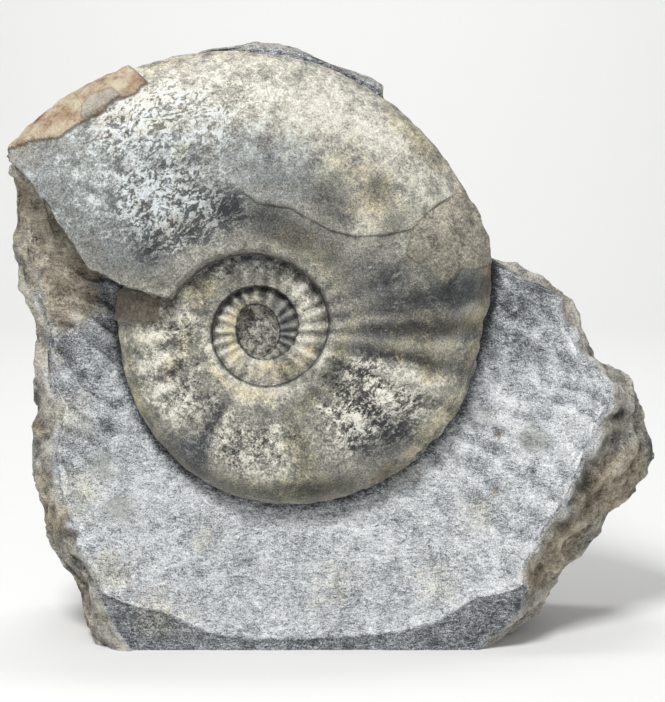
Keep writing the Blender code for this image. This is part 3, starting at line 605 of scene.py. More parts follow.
def whorl_profile(turn, share):
    """How far a plain whorl stands out of the middle plane, by its share of the way from seam to rim."""
    outer = np.clip((share - FLANK_CREST) / (1 - FLANK_CREST), 0, 1)
    inner = np.clip((FLANK_CREST - share) / FLANK_CREST, 0, 1)
    shape = (1 - outer**FLANK_FALL) ** FLANK_ROUNDING - SHOULDER_DROP * inner**2
    return through(HALF_THICKNESS, turn) * shape


def segment_distances(u, v, starts, sides):
    """How far each point is from each straight stretch, from its start, and along it as a share."""
    from_start = np.stack([u, v], axis=1)[:, None, :] - starts
    along = np.clip((from_start * sides).sum(axis=2) / (sides**2).sum(axis=1), 0, 1)
    return np.linalg.norm(from_start - along[..., None] * sides, axis=2), from_start, along


def depth_inside(u, v, outline):
    """How far inside a closed outline each point lies, negative outside it."""
    start = np.array(outline)
    side = np.roll(start, -1, axis=0) - start
    distances, from_start, _ = segment_distances(u, v, start, side)
    distance = distances.min(axis=1)
    past_start = from_start[..., 1] >= 0
    past_end = from_start[..., 1] - side[:, 1] >= 0
    turning = from_start[..., 0] * side[:, 1] - from_start[..., 1] * side[:, 0]
    crossings = (past_start & ~past_end & (turning < 0)) | (~past_start & past_end & (turning > 0))
    return np.where(crossings.sum(axis=1) % 2 == 1, distance, -distance)


def side_of_line(u, v, line):
    """The distance from an open line, positive on its left, and the share of the way along it."""
    corners = np.array(line)
    side = corners[1:] - corners[:-1]
    distances, from_start, along = segment_distances(u, v, corners[:-1], side)
    nearest = distances.argmin(axis=1)
    rows = np.arange(len(u))
    picked = side[nearest]
    offset = from_start[rows, nearest]
    left = picked[:, 0] * offset[:, 1] - picked[:, 1] * offset[:, 0]
    return distances[rows, nearest] * np.sign(left), (nearest + along[rows, nearest]) / len(side)


def share_across(turn, radius):
    """The share of the way from seam to rim of a radius, at a turn angle."""
    return np.clip((radius - through(SEAM_RADIUS, turn)) / whorl_width(turn), 0, 1)


def whorl_width(turn):
    """How far a whorl reaches from its seam to its rim."""
    return through(RIM_RADIUS, turn) - through(SEAM_RADIUS, turn)


def rib_wave(turn):
    """1 on the crest of each rib and -1 in the gap between two ribs."""
    return np.cos(2 * np.pi * np.interp(turn, RIB_CRESTS, np.arange(len(RIB_CRESTS))))


def rib_relief(turn, share):
    """The height of the ribs, which fade towards the umbilicus and the rim."""
    rise = np.clip((share - np.interp(turn, *np.array(RIB_START).T)) / RIB_RISE, 0, 1)
    fall = np.clip((1 - share) / RIB_FALL + RIB_END, 0, 1)
    across = np.sin(np.pi / 2 * rise) * np.sin(np.pi / 2 * fall)
    return through(RIB_HEIGHT, turn) * across * rib_wave(turn)


def flank_level(turn, radius):
    """The height of a whorl's flank, with its ribs, as if no whorl lay over it."""
    share = share_across(turn, radius)
    return whorl_profile(turn, share) + rib_relief(turn, share)


def whorl_level(turn, radius):
    """The height of the coil's surface: the umbilical wall rises from the whorl inside to the flank."""
    flank = flank_level(turn, radius)
    foot = flank_level(turn + FULL_TURN, radius)
    climb = np.clip(share_across(turn, radius) / WALL_WIDTH_SHARE, 0, 1)
    return foot + (flank - foot) * (1 - (1 - climb) ** WALL_CURVE)


def inward(plan, distance):
    """A clockwise outline, moved in by a distance."""
    along = np.roll(plan, -1, axis=0) - np.roll(plan, 1, axis=0)
    along /= np.linalg.norm(along, axis=1)[:, None]
    return plan + distance * np.stack([along[:, 1], -along[:, 0]], axis=1)


def shell_outline(angles):
    """The radius of the coil's outline at polar angles, with the broken mouth's edge as its step."""
    turn = np.mod(MOUTH_ANGLE - np.asarray(angles, float), FULL_TURN)
    share, lag = np.array(MOUTH_LAG).T
    step_foot = through(RIM_RADIUS, FULL_TURN)
    mouth = step_foot + (through(RIM_RADIUS, turn) - step_foot) * np.interp(turn, lag, share)
    return np.where(turn < lag[-1], mouth, through(RIM_RADIUS, turn))


def coil_column(i):
    """Turn angles and radii of one column, from the seam to the rim or to the next seam."""
    turn = i * FULL_TURN / COLUMNS_PER_TURN
    seam = through(SEAM_RADIUS, turn)
    step = turn / FULL_TURN
    join = through(RIM_RADIUS, FULL_TURN) * (1 - step) + through(SEAM_RADIUS, 0.0) * step
    if turn >= FULL_TURN:
        join = through(SEAM_RADIUS, turn - FULL_TURN)
    t = np.linspace(0, 1, FLANK_ROWS + 1)
    fade = math.exp(-turn / MOUTH_FADE)
    turns = turn - t * fade
    radii = seam + (join - seam) * t**ROW_SPREAD
    if turn <= FULL_TURN:
        outward = 1 - (1 - t[1:]) ** RIM_ROW_SPREAD
        lagged = turn + np.interp(outward, *np.array(MOUTH_LAG).T) * fade
        turns = np.concatenate([turns, lagged])
        radii = np.concatenate([radii, join + (through(RIM_RADIUS, lagged) - join) * outward])
    return turns, radii


class CoilMesh:
    """The coil as one closed surface: whorl strips with shared seams, a core, a mouth and a flat back."""

    def __init__(self):
        self.points = []
        self.turns = []
        self.shares = []
        self.faces = []
        self.rows = []
        self.add_whorls()
        self.add_under_rim()
        self.core_start = len(self.points)
        self.add_core()
        self.mouth_start = len(self.points)
        self.add_mouth_and_back()

    def add(self, u, v, w, turn=0.0, share=1.0):
        """A new point, with its turn angle and its share of the way from seam to rim."""
        self.points.append((float(u), float(v), float(w)))
        self.turns.append(float(turn))
        self.shares.append(float(share))
        return len(self.points) - 1

    def places(self, row):
        """The slab places of a row of points."""
        return np.array([self.points[k] for k in row])

    def bridge(self, a, b):
        """Faces between two rows of points, which may share some of their points."""
        for corners in zip(a, a[1:], b[1:], b):
            kept = list(dict.fromkeys(corners))
            if len(kept) > 2:
                self.faces.append(kept)

    def add_whorls(self):
        """Columns of points all along the coil, which share the seam's points with the whorl outside."""
        for i in range(round(LAST_TURN / FULL_TURN * COLUMNS_PER_TURN) + 1):
            turns, radii = coil_column(i)
            u, v = polar(MOUTH_ANGLE - turns, radii)
            levels, shares = whorl_level(turns, radii), share_across(turns, radii)
            row = []
            for j, place in enumerate(zip(u, v, levels, turns, shares)):
                on_seam = i >= COLUMNS_PER_TURN and j == FLANK_ROWS
                row.append(self.rows[i - COLUMNS_PER_TURN][0] if on_seam else self.add(*place))
            self.rows.append(row)
        for a, b in zip(self.rows, self.rows[1:]):
            self.bridge(a, b)

    def outline(self):
        """The coil's outline seen from the front: the rim clockwise from the mouth, then up the mouth."""
        rim = [row[-1] for row in self.rows[: COLUMNS_PER_TURN + 1]]
        return self.places(rim + self.rows[0][FLANK_ROWS + 1 : -1])[:, :2]

    def add_under_rim(self):
        """The rim turns under, to the flat back."""
        plan = self.outline()
        self.back = [[row[-1]] for row in self.rows[: COLUMNS_PER_TURN + 1]]
        for distance, level in UNDER_RIM:
            inner = inward(plan, distance)
            for i, column in enumerate(self.back):
                column.append(self.add(*inner[i], level, i * FULL_TURN / COLUMNS_PER_TURN))
        self.ground = [self.add(*place, level) for place in inner[len(self.back) :]]
        for a, b in zip(self.back, self.back[1:]):
            self.bridge(a, b)

    def add_core(self):
        """The broken middle of the coil: rings from the last turn's inner edge to a sunken centre."""
        loop = [row[0] for row in self.rows[-COLUMNS_PER_TURN - 1 :]] + self.rows[-1][1:FLANK_ROWS]
        edge = self.places(loop)
        floor = edge[:, 2].min() - CORE_DEPTH
        centre = np.array([*CORE_CENTRE, floor])
        previous = loop + loop[:1]
        for ring in range(1, CORE_RINGS):
            share = ring / CORE_RINGS
            places = edge * (1 - share) + centre * share
            places[:, 2] = floor + (edge[:, 2] - floor) * math.exp(-share * CORE_FALL)
            current = [self.add(*p, LAST_TURN, MIDDLE_SHARE) for p in places]
            current += current[:1]
            self.bridge(previous, current)
            previous = current
        self.bridge(previous, [self.add(*centre, LAST_TURN, MIDDLE_SHARE)] * len(previous))

    def add_mouth_and_back(self):
        """The broken mouth stands on the whorl inside it, and on the back plane past that whorl's rim."""
        upper = self.rows[0] + self.back[0][1:]
        lower = self.rows[COLUMNS_PER_TURN][FLANK_ROWS:] + self.back[-1][1:]
        lower += self.ground + [self.back[0][-1]]
        above, below = self.places(upper), self.places(lower)
        previous = upper
        for row in range(1, MOUTH_ROWS):
            places = above + (below - above) * (row / MOUTH_ROWS) ** MOUTH_ROW_SPREAD
            current = [upper[0], *(self.add(*p, 0.0, MIDDLE_SHARE) for p in places[1:-1]), lower[-1]]
            self.bridge(previous, current)
            previous = current
        self.bridge(previous, lower)
        self.faces.append([column[-1] for column in self.back] + self.ground)


def over_strip(angles):
    """Whether each polar angle is one at which the upright strip lies under the scooped face."""
    return (angles > SCOOP_EDGE[0][0]) & (angles < SCOOP_EDGE[-1][0])


def scoop_edge(angles):
    """Where the scooped face ends: at its ridge over the front strip, or just inside the front edge."""
    front = around(FRONT_EDGE, angles)
    return np.where(over_strip(angles), np.interp(angles, *np.array(SCOOP_EDGE).T), front * EDGE_SHARE)


def scoop_level(angles, radii):
    """The depth of the scooped face, which climbs from the shell's rim to its edge."""
    rim = shell_outline(angles)
    share = np.clip((radii - rim) / np.maximum(scoop_edge(angles) - rim, 0.001), 0, 1)
    low = around(RIM_LEVEL, angles)
    high = np.minimum(around(EDGE_LEVEL, angles), strip_level(angles, scoop_edge(angles)))
    return low + (high - low) * share**SCOOP_CURVE


def strip_level(angles, radii):
    """The depth of the upright strip along the foot of the front."""
    return upright_level(STRIP_Y, radii * np.sin(np.radians(angles)))


def back_level(angles, radii):
    """The depth of the block's plain back."""
    return upright_level(BACK_Y, radii * np.sin(np.radians(angles)))


def block_rings(plan):
    """Rings of points round the block, each with the kind of surface it lies on."""
    angles, outline = angles_and_radii(plan)
    rim_level = around(RIM_LEVEL, angles)
    floor_inset, floor_level = SOCKET_FLOOR
    lid_inset, lid_level = SOCKET_LID
    rise = (rim_level - floor_level) / (lid_level - floor_level)
    brink = inward(plan, (floor_inset + (lid_inset - floor_inset) * rise)[:, None])
    rings = [("socket", np.column_stack([inward(plan, floor_inset), np.full(len(plan), floor_level)]))]

    def add_ring(kind, radii, level):
        rings.append((kind, np.column_stack([*polar(angles, radii), level])))

    edge = np.maximum(scoop_edge(angles), outline - RIM_OVERHANG)
    edge_place = np.stack(polar(angles, edge), axis=1)
    for share in np.linspace(0, 1, SCOOP_ROWS) ** SCOOP_ROW_SPREAD:
        place = brink + (edge_place - brink) * share
        at, radii = angles_and_radii(place)
        level = np.minimum(scoop_level(at, radii), strip_level(at, radii))
        level = rim_level + (level - rim_level) * smooth(0, RIM_LEVEL_SHARE, share)
        rings.append(("scoop", np.column_stack([place, level])))
    edge_level = rings[-1][1][:, 2]
    front = np.maximum(around(FRONT_EDGE, angles), edge)
    for share in np.linspace(0, 1, STRIP_ROWS + 1)[1:]:
        radii = edge + (front - edge) * share
        level = np.where(over_strip(angles), strip_level(angles, radii), edge_level - EDGE_DROP * share**2)
        add_ring("strip", radii, level)
    front_level = rings[-1][1][:, 2]
    widest = np.maximum(around(WIDEST, angles), front)
    widest_level = np.minimum(around(WIDEST_LEVEL, angles), front_level - EDGE_DROP)
    proud = np.clip((widest - outline) / PROUD_ROCK, HIDDEN_ROUGHNESS, 1)
    for share in np.linspace(0, 1, SIDE_ROWS + 1)[1:]:
        radii = front + (widest - front) * share + SIDE_BULGE * proud * math.sin(math.pi * share)
        add_ring("side", radii, front_level + (widest_level - front_level) * share)
    for share in np.linspace(0, 1, SIDE_ROWS // 2 + 1)[1:]:
        radii = widest * (1 - (1 - BACK_NARROWING) * share**2)
        add_ring("side", radii, widest_level + (back_level(angles, radii) - widest_level) * share)
    for share in np.linspace(1, 0, BACK_ROWS + 1)[1:-1]:
        radii = widest * BACK_NARROWING * share
        add_ring("back", radii, back_level(angles, radii))
    return rings, proud


def block_mesh(plan):
    """The block before its base is sawn: its points and faces, and each point's kind and proudness."""
    rings, proud = block_rings(plan)
    points = []
    kinds = []
    for k, (kind, ring) in enumerate(rings):
        if kind == "side":
            ring[:, :2] *= 1 + (BROKEN_ROUGHNESS * proud * roughness(ring, BROKEN_GRAIN))[:, None]
        if kind != "socket" and k > 1:
            amount = BROKEN_RELIEF if kind in ("side", "back") else SCOOP_RELIEF
            grain = BACK_GRAIN if kind == "back" else SCOOP_GRAIN
            ring[:, 2] += amount * roughness(ring + BROKEN_GRAIN, grain)
        points += ring.tolist()
        kinds += [kind] * len(ring)
    n = len(plan)
    last = len(points) - n
    points.append((0.0, 0.0, upright_level(BACK_Y, 0.0)))
    kinds.append("back")
    faces = [list(range(n))]
    for k in range(n):
        after = (k + 1) % n
        for a in range(0, last, n):
            faces.append((a + k, a + n + k, a + n + after, a + after))
        faces.append((last + k, last + n, last + after))
    return np.array(points), faces, np.array(kinds), np.append(np.tile(proud, len(rings)), 1.0)


def surface_normals(points, faces):
    """A closed mesh whose faces are turned to face out, and its outward normals at the points."""
    mesh = bpy.data.meshes.new("scratch")
    mesh.from_pydata(np.asarray(points).tolist(), [], faces)
    turned = bmesh.new()
    turned.from_mesh(mesh)
    bmesh.ops.recalc_face_normals(turned, faces=turned.faces)
    turned.to_mesh(mesh)
    turned.free()
    normals = np.zeros(len(mesh.vertices) * 3)
    mesh.vertices.foreach_get("normal", normals)
    return mesh, normals.reshape(-1, 3)


def finish_mesh(name, mesh, points, measures, material):
    """The object of a mesh whose points are given in the slab frame, with its measures as attributes."""
    mesh.name = name
    mesh.vertices.foreach_set("co", to_world(points).ravel())
    places = dict(zip(("slab_u", "slab_v", "slab_w"), points.T))
    for label, values in {**places, **measures}.items():
        layer = mesh.attributes.new(label, "FLOAT", "POINT")
        layer.data.foreach_set("value", np.asarray(values, np.float32))
    mesh.materials.append(material)
    mesh.update()
    mesh.shade_smooth()
    obj = bpy.data.objects.new(name, mesh)
    bpy.context.scene.collection.objects.link(obj)
    return obj


def pitted(u, v, pits):
    """The depth of round pits at slab places."""
    depth = np.zeros(len(u))
    for at_u, at_v, radius, deepest in pits:
        depth += deepest * nearness(np.hypot(u - at_u, v - at_v), radius)
    return depth


def stain_marks(stains_by_kind, a, b):
    """How strongly each kind of mark, stains and some painted light and shade, marks each point, whose place
    is given by two measures.
    """
    marks = {}
    for kind, stains in stains_by_kind.items():
        left = np.ones(len(a))
        for at_a, at_b, *halves, strength in stains:
            off = ((a - at_a) / halves[0]) ** 2 + ((b - at_b) / halves[-1]) ** 2
            left *= 1 - strength * np.exp(-off)
        marks[kind] = 1 - left
    return marks


def shell_relief(points, turn, share, coil):
    """How far the shell's surface stands out from its plain form, and where its core and mouth are."""
    u, v = points[:, 0], points[:, 1]
    index = np.arange(len(points))
    core = ((index >= coil.core_start) & (index < coil.mouth_start)).astype(float)
    mouth = (index >= coil.mouth_start).astype(float)
    scale = np.clip(whorl_width(turn) / WIDE_WHORL, LEAST_LUMPS, 1)
    relief = scale * surface_noise(points, "shell") + (1 - core) * surface_noise(points, "shell_grain")
    relief += within(*SCALY_TURNS, turn) * surface_noise(points, "scaly")
    wander = surface_noise(points, "wander")
    patches = smooth(-CRUST_EDGE, CRUST_EDGE, depth_inside(u, v, CRUST)) * surface_noise(points, "crust")
    for outline, height, slope in PATCHES.values():
        patches += height * smooth(-0.5, 0.5, (depth_inside(u, v, outline) + wander) / slope)
    lip, along = side_of_line(u, v, CRACK)
    lip += wander
    raised = CRACK_LIP * smooth(*LIP_RISE, lip) * np.exp(-np.clip(lip, 0, 1) / CRACK_REACH)
    patches += within(*CRACK_ENDS, along) * (raised - CRACK_GROOVE * nearness(lip, CRACK_WIDTH))
    patches -= pitted(u, v, SHELL_PITS)
    outer_whorl = turn < OUTER_WHORL_END
    relief += np.where((points[:, 2] > FRONT_START) & outer_whorl, patches, 0)
    at_rim = smooth(*CHIPPED_RIM, share) * outer_whorl
    relief += at_rim * surface_noise(points, "rim")
    relief += at_rim * within(*CHIPPED_TURNS, turn) * surface_noise(points, "rim_chips")
    relief += core * surface_noise(points, "core") + mouth * surface_noise(points, "mouth")
    torn = np.zeros(len(points))
    for i in range(TORN_COLUMNS):
        torn[coil.rows[i]] = 1 - i / TORN_COLUMNS
    return relief + torn * surface_noise(points, "torn"), core, mouth


def shell_piece(material):
    """The fossil, and the coil that its mesh was made from."""
    coil = CoilMesh()
    points = np.array(coil.points)
    turn, share = np.array(coil.turns), np.array(coil.shares)
    mesh, normals = surface_normals(points, coil.faces)
    relief, core, mouth = shell_relief(points, turn, share, coil)
    u, v = points[:, 0], points[:, 1]
    outer_whorl = turn < OUTER_WHORL_END
    whorls = (1 - core) * (1 - mouth)
    radii = np.hypot(u, v)
    # Painted shadow that each umbilical wall casts on the whorl inside it, fading towards the coil's lower
    # side, added to the dark stains.
    under_wall_shadow = nearness(through(SEAM_RADIUS, turn - FULL_TURN) - radii, WALL_SHADE_REACH)
    under_wall_shadow *= ~outer_whorl * whorls * np.clip(v / radii + WALL_SHADE_LEAST, 0, 1)
    stray_turn = turn + STRAY_TURN * roughness(points + 31, STRAY_SIZE, 3)
    stray_share = share + STRAY_SHARE * roughness(points + 37, STRAY_SIZE, 3)
    measures = stain_marks(SHELL_STAINS_LIGHT_AND_SHADE, stray_turn, stray_share * 100)
    measures["dark"] = np.maximum(measures["dark"], WALL_SHADE * under_wall_shadow)
    tone = through(RIB_HEIGHT, turn) / max(height for _, height in RIB_HEIGHT)
    tone *= np.interp(turn, INNER_RIB_TURNS, [1, INNER_RIB_TONE])
    seam = np.clip(share * whorl_width(turn) * MILLIMETRES, 0, FAR)
    crack = np.clip(np.abs(side_of_line(u, v, CRACK)[0]) * MILLIMETRES, 0, FAR)
    measures.update({
        "rib": rib_wave(turn) * tone * whorls,
        "swell": relief * MILLIMETRES,
        "seam": seam + FAR * np.maximum(core, mouth),
        "core": core,
        "crack": crack + FAR * ~outer_whorl,
    })
    for label, (outline, _, _) in PATCHES.items():
        depth = np.minimum(depth_inside(u, v, outline), np.where(outer_whorl, PATCH_DEPTH, -PATCH_DEPTH))
        measures[label] = depth * MILLIMETRES
    moved = points + normals * relief[:, None]
    return finish_mesh("ammonite_shell", mesh, moved, measures, material), coil


def ledges(points, spacing, rise):
    """Broken ledges that lie a spacing apart along slab u, v and w, each with its rise as a share of it."""
    place = (points / np.array(spacing)).sum(axis=1) + LEDGE_STRAY * roughness(points, LEDGE_WAVE, 2)
    return LEDGE_HEIGHT * (smooth(*rise, place % 1.0) - 0.5)


def rock_relief(points, kinds):
    """How far the block's surface stands out from its plain form."""
    u, v = points[:, 0], points[:, 1]
    angles, radii = angles_and_radii(points)
    at_edge = nearness(radii - scoop_edge(angles), SCOOP_EDGE_REACH)
    left_wall = sum(smooth(*rise, angles) for rise in LEFT_WALL)
    right_wall = within(*RIGHT_WALL, angles)
    scoop_ledges = ledges(points, *SCOOP_LEDGES)
    scoop = surface_noise(points, "scoop")
    scoop += left_wall * (scoop_ledges + surface_noise(points, "left_wall"))
    scoop += right_wall * (scoop_ledges + surface_noise(points, "right_wall"))
    scoop += at_edge * surface_noise(points, "scoop_edge")
    scoop -= pitted(u, v, SCOOP_PITS) + CUT_DEPTH * nearness(side_of_line(u, v, SCOOP_CUT)[0], CUT_WIDTH)
    scoop *= smooth(0.0, CLEAR_OF_SHELL, radii - shell_outline(angles))
    strip = surface_noise(points * STRIP_STRETCH, "strip") + at_edge * surface_noise(points, "strip_edge")
    side = ledges(points, *SIDE_LEDGES) + surface_noise(points, "side")
    places = [kinds == "scoop", kinds == "strip", kinds == "side", kinds == "back"]
    return np.select(places, [scoop, strip, side, surface_noise(points, "back")], 0)


def rock_piece(material, coil):
    """The block round the fossil, with its sawn base."""
    points, faces, kinds, proud = block_mesh(coil.outline())
    mesh, normals = surface_normals(points, faces)
    on_side, on_back = kinds == "side", kinds == "back"
    relief = rock_relief(points, kinds)
    relief = np.where(on_side, relief * proud, relief)
    angles, radii = angles_and_radii(points)
    past_edge = np.clip((radii - around(FRONT_EDGE, angles)) * MILLIMETRES, -FAR, FAR)
    from_front = [FAR, np.maximum(past_edge, BROKEN_START)]
    stray = np.stack([roughness(points + shift, ROCK_STRAY_SIZE, 3) for shift in (41, 0)], axis=1)
    stray = (points[:, :2] + ROCK_STRAY * stray) * MILLIMETRES
    measures = {
        **stain_marks(ROCK_STAINS_AND_SHADE, stray[:, 0], stray[:, 1]),
        "past_edge": np.select([on_back, on_side], from_front, np.minimum(past_edge, 0)),
        "swell": relief * MILLIMETRES,
        # strip is where the upright strip is painted darker as shade; ridge is where the painted highlight
        # along the scooped face's edge lies; from_shell feeds painted shade.
        "strip": (kinds == "strip") & over_strip(angles),
        "ridge": nearness(radii - scoop_edge(angles), RIDGE_REACH) * (kinds == "scoop"),
        "from_shell": np.clip((radii - shell_outline(angles)) * MILLIMETRES, 0, FAR_FROM_SHELL),
    }
    obj = finish_mesh("rock_block", mesh, points + normals * relief[:, None], measures, material)
    cut = bmesh.new()
    cut.from_mesh(mesh)
    parts = cut.verts[:] + cut.edges[:] + cut.faces[:]
    down = (0, 0, -1)
    bmesh.ops.bisect_plane(cut, geom=parts, dist=1e-6, plane_co=(0, 0, 0), plane_no=down, clear_outer=True)
    bmesh.ops.holes_fill(cut, edges=[e for e in cut.edges if e.is_boundary], sides=0)
    cut.to_mesh(mesh)
    cut.free()
    mesh.shade_smooth()
    mesh.set_sharp_from_angle(angle=SHARP_ANGLE)
    return obj


def tint(red, green, blue):
    """A colour from its display values of 0 to 255."""
    shown = np.array([red, green, blue]) / 255
    linear = np.where(shown <= 0.04045, shown / 12.92, ((shown + 0.055) / 1.055) ** 2.4)
    return (*linear.tolist(), 1.0)


class StonePaint:
    """The nodes of one procedural stone material, which read the slab position in millimetres."""

    def __init__(self, name):
        self.material = bpy.data.materials.new(name)
        self.material.use_nodes = True
        self.tree = self.material.node_tree
        parts = {}
        for axis, letter in zip("XYZ", "uvw"):
            parts[axis] = self.times(self.measure(f"slab_{letter}"), MILLIMETRES)
        self.place = self.arrow("ADD", self.node("CombineXYZ", parts).outputs[0], GRAIN_CORNER)

    def plug(self, node, socket, value):
        """Give a node's input a fixed value or another node's output."""
        if isinstance(value, bpy.types.NodeSocket):
            self.tree.links.new(value, node.inputs[socket])
        else:
            node.inputs[socket].default_value = value

    def node(self, kind, inputs, **settings):
        """A new node with its settings and inputs."""
        node = self.tree.nodes.new("ShaderNode" + kind)
        for name, setting in settings.items():
            setattr(node, name, setting)
        for socket, value in inputs.items():
            self.plug(node, socket, value)
        return node

    def measure(self, label):
        """A measure that the mesh has at its points."""
        return self.node("Attribute", {}, attribute_name=label).outputs["Fac"]

    def calculate(self, operation, a, b=0.0):
        """The result of a named operation on one or two numbers."""
        return self.node("Math", {0: a, 1: b}, operation=operation).outputs[0]

    def times(self, a, b):
        return self.calculate("MULTIPLY", a, b)

    def total(self, *terms):
        """The sum of products, from (factor, factor) pairs and single terms."""
        result = None
        for term in terms:
            value = self.times(*term) if isinstance(term, tuple) else term
            result = value if result is None else self.calculate("ADD", result, value)
        return result

    def grain(self, size, detail=2.0, rough=0.6, place=None, warp=0.0):
        """Noise centred on 0, with features of a size in millimetres."""
        inputs = {"Scale": 1.0 / size, "Detail": detail, "Roughness": rough, "Distortion": warp}
        source = self.node("TexNoise", {"Vector": place or self.place, **inputs})
        return self.calculate("SUBTRACT", source.outputs[0], 0.5)

    def slanted(self, angle, squeeze):
        """The place in a frame turned by an angle and squeezed along it, so that grain runs that way."""
        turned = (0.0, 0.0, -math.radians(angle))
        inputs = {"Vector": self.place, "Rotation": turned, "Scale": (squeeze, 1.0, 1.0)}
        return self.node("Mapping", inputs).outputs[0]

    def veins(self, size, width, place):
        """Thin broken lines, as a mask."""
        from_line = self.calculate("ABSOLUTE", self.grain(size, 2.0, 0.5, place, 0.8))
        line = self.step(from_line, 0.0, width, 1.0, 0.0)
        return self.times(line, self.step(self.grain(size * 0.8, 1.0), 0.04, 0.10))

    def step(self, value, low, high, to_low=0.0, to_high=1.0):
        """A soft step between two values."""
        inputs = {"Value": value, "From Min": low, "From Max": high, "To Min": to_low, "To Max": to_high}
        return self.node("MapRange", inputs, interpolation_type="SMOOTHSTEP").outputs[0]

    def blend(self, factor, a, b, mode="MIX"):
        """Colour a with colour b laid over it, as strongly as the factor says."""
        return self.node("Mix", {0: factor, 6: a, 7: b}, data_type="RGBA", blend_type=mode).outputs[2]

    def ramp(self, value, name):
        """The colour that a named row of tones has at a value."""
        first, *middle, last = TONES[name]
        node = self.node("ValToRGB", {0: value})
        for end, (place, *shade) in zip(node.color_ramp.elements, (first, last)):
            end.position = place
            end.color = tint(*shade)
        for place, *shade in middle:
            node.color_ramp.elements.new(place).color = tint(*shade)
        return node.outputs[0]

    def stain(self, label, edge, softness=0.18):
        """The mask of one kind of mark, stains and some painted light and shade, with its edge broken up by
        noise.
        """
        return self.step(self.calculate("ADD", self.measure(label), edge), 0.5 - softness, 0.5 + softness)

    def cover(self, depth):
        """The mask of a raised patch, from the depth inside its outline in millimetres."""
        return self.step(depth, -0.3, 0.3)

    def covered(self, under, depth, over, foot_shade_reach, foot_shade_strength, foot_shade_colour):
        """A raised patch's colour over another colour, with a dark line of painted shade at the patch's
        foot.
        """
        colour = self.blend(self.cover(depth), under, over)
        foot = self.step(self.calculate("ABSOLUTE", depth), 0.1, foot_shade_reach, foot_shade_strength, 0.0)
        return self.blend(foot, colour, tint(*foot_shade_colour))

    def arrow(self, operation, *values):
        """A vector operation, or the length of a vector."""
        node = self.node("VectorMath", dict(enumerate(values)), operation=operation)
        return node.outputs["Value" if operation == "LENGTH" else "Vector"]

    def ferns(self, size, stray, needles, stretch):
        """Leafy needles in overlapping fans, as noise centred on 0."""
        noisy = self.node("TexNoise", {"Vector": self.place, "Scale": 1.0 / stray, "Detail": 3.0})
        strayed = self.arrow("MULTIPLY_ADD", noisy.outputs["Color"], (stray, stray, 0.0), self.place)
        flat = self.arrow("MULTIPLY", strayed, (1.0, 1.0, 0.0))
        cells = self.node("TexVoronoi", {"Vector": flat, "Scale": 1.0 / size}, voronoi_dimensions="2D")
        spoke = self.arrow("SUBTRACT", flat, cells.outputs["Position"])
        spoke = self.arrow("ADD", spoke, tuple(size * part for part in FAN_MIDDLE))
        lift = self.node("CombineXYZ", {"Z": self.times(self.arrow("LENGTH", spoke), 1.0 / stretch)})
        outward = self.arrow("NORMALIZE", spoke)
        fan = self.arrow("MULTIPLY_ADD", outward, (needles, needles, 0.0), lift.outputs[0])
        own = self.arrow("MULTIPLY_ADD", cells.outputs["Color"], FAN_SHIFT, fan)
        return self.grain(1.0, 3.0, 0.6, own, 0.4)

    def finished(self, colour, rough, height, strength):
        """The material with its colour, its roughness and the bumps of a height in millimetres."""
        inputs = {"Strength": strength, "Distance": 0.001, "Height": height}
        bumps = self.node("Bump", inputs).outputs[0]
        for socket, value in (("Base Color", colour), ("Roughness", rough), ("Normal", bumps)):
            self.plug(self.tree.nodes["Principled BSDF"], socket, value)
        return self.material


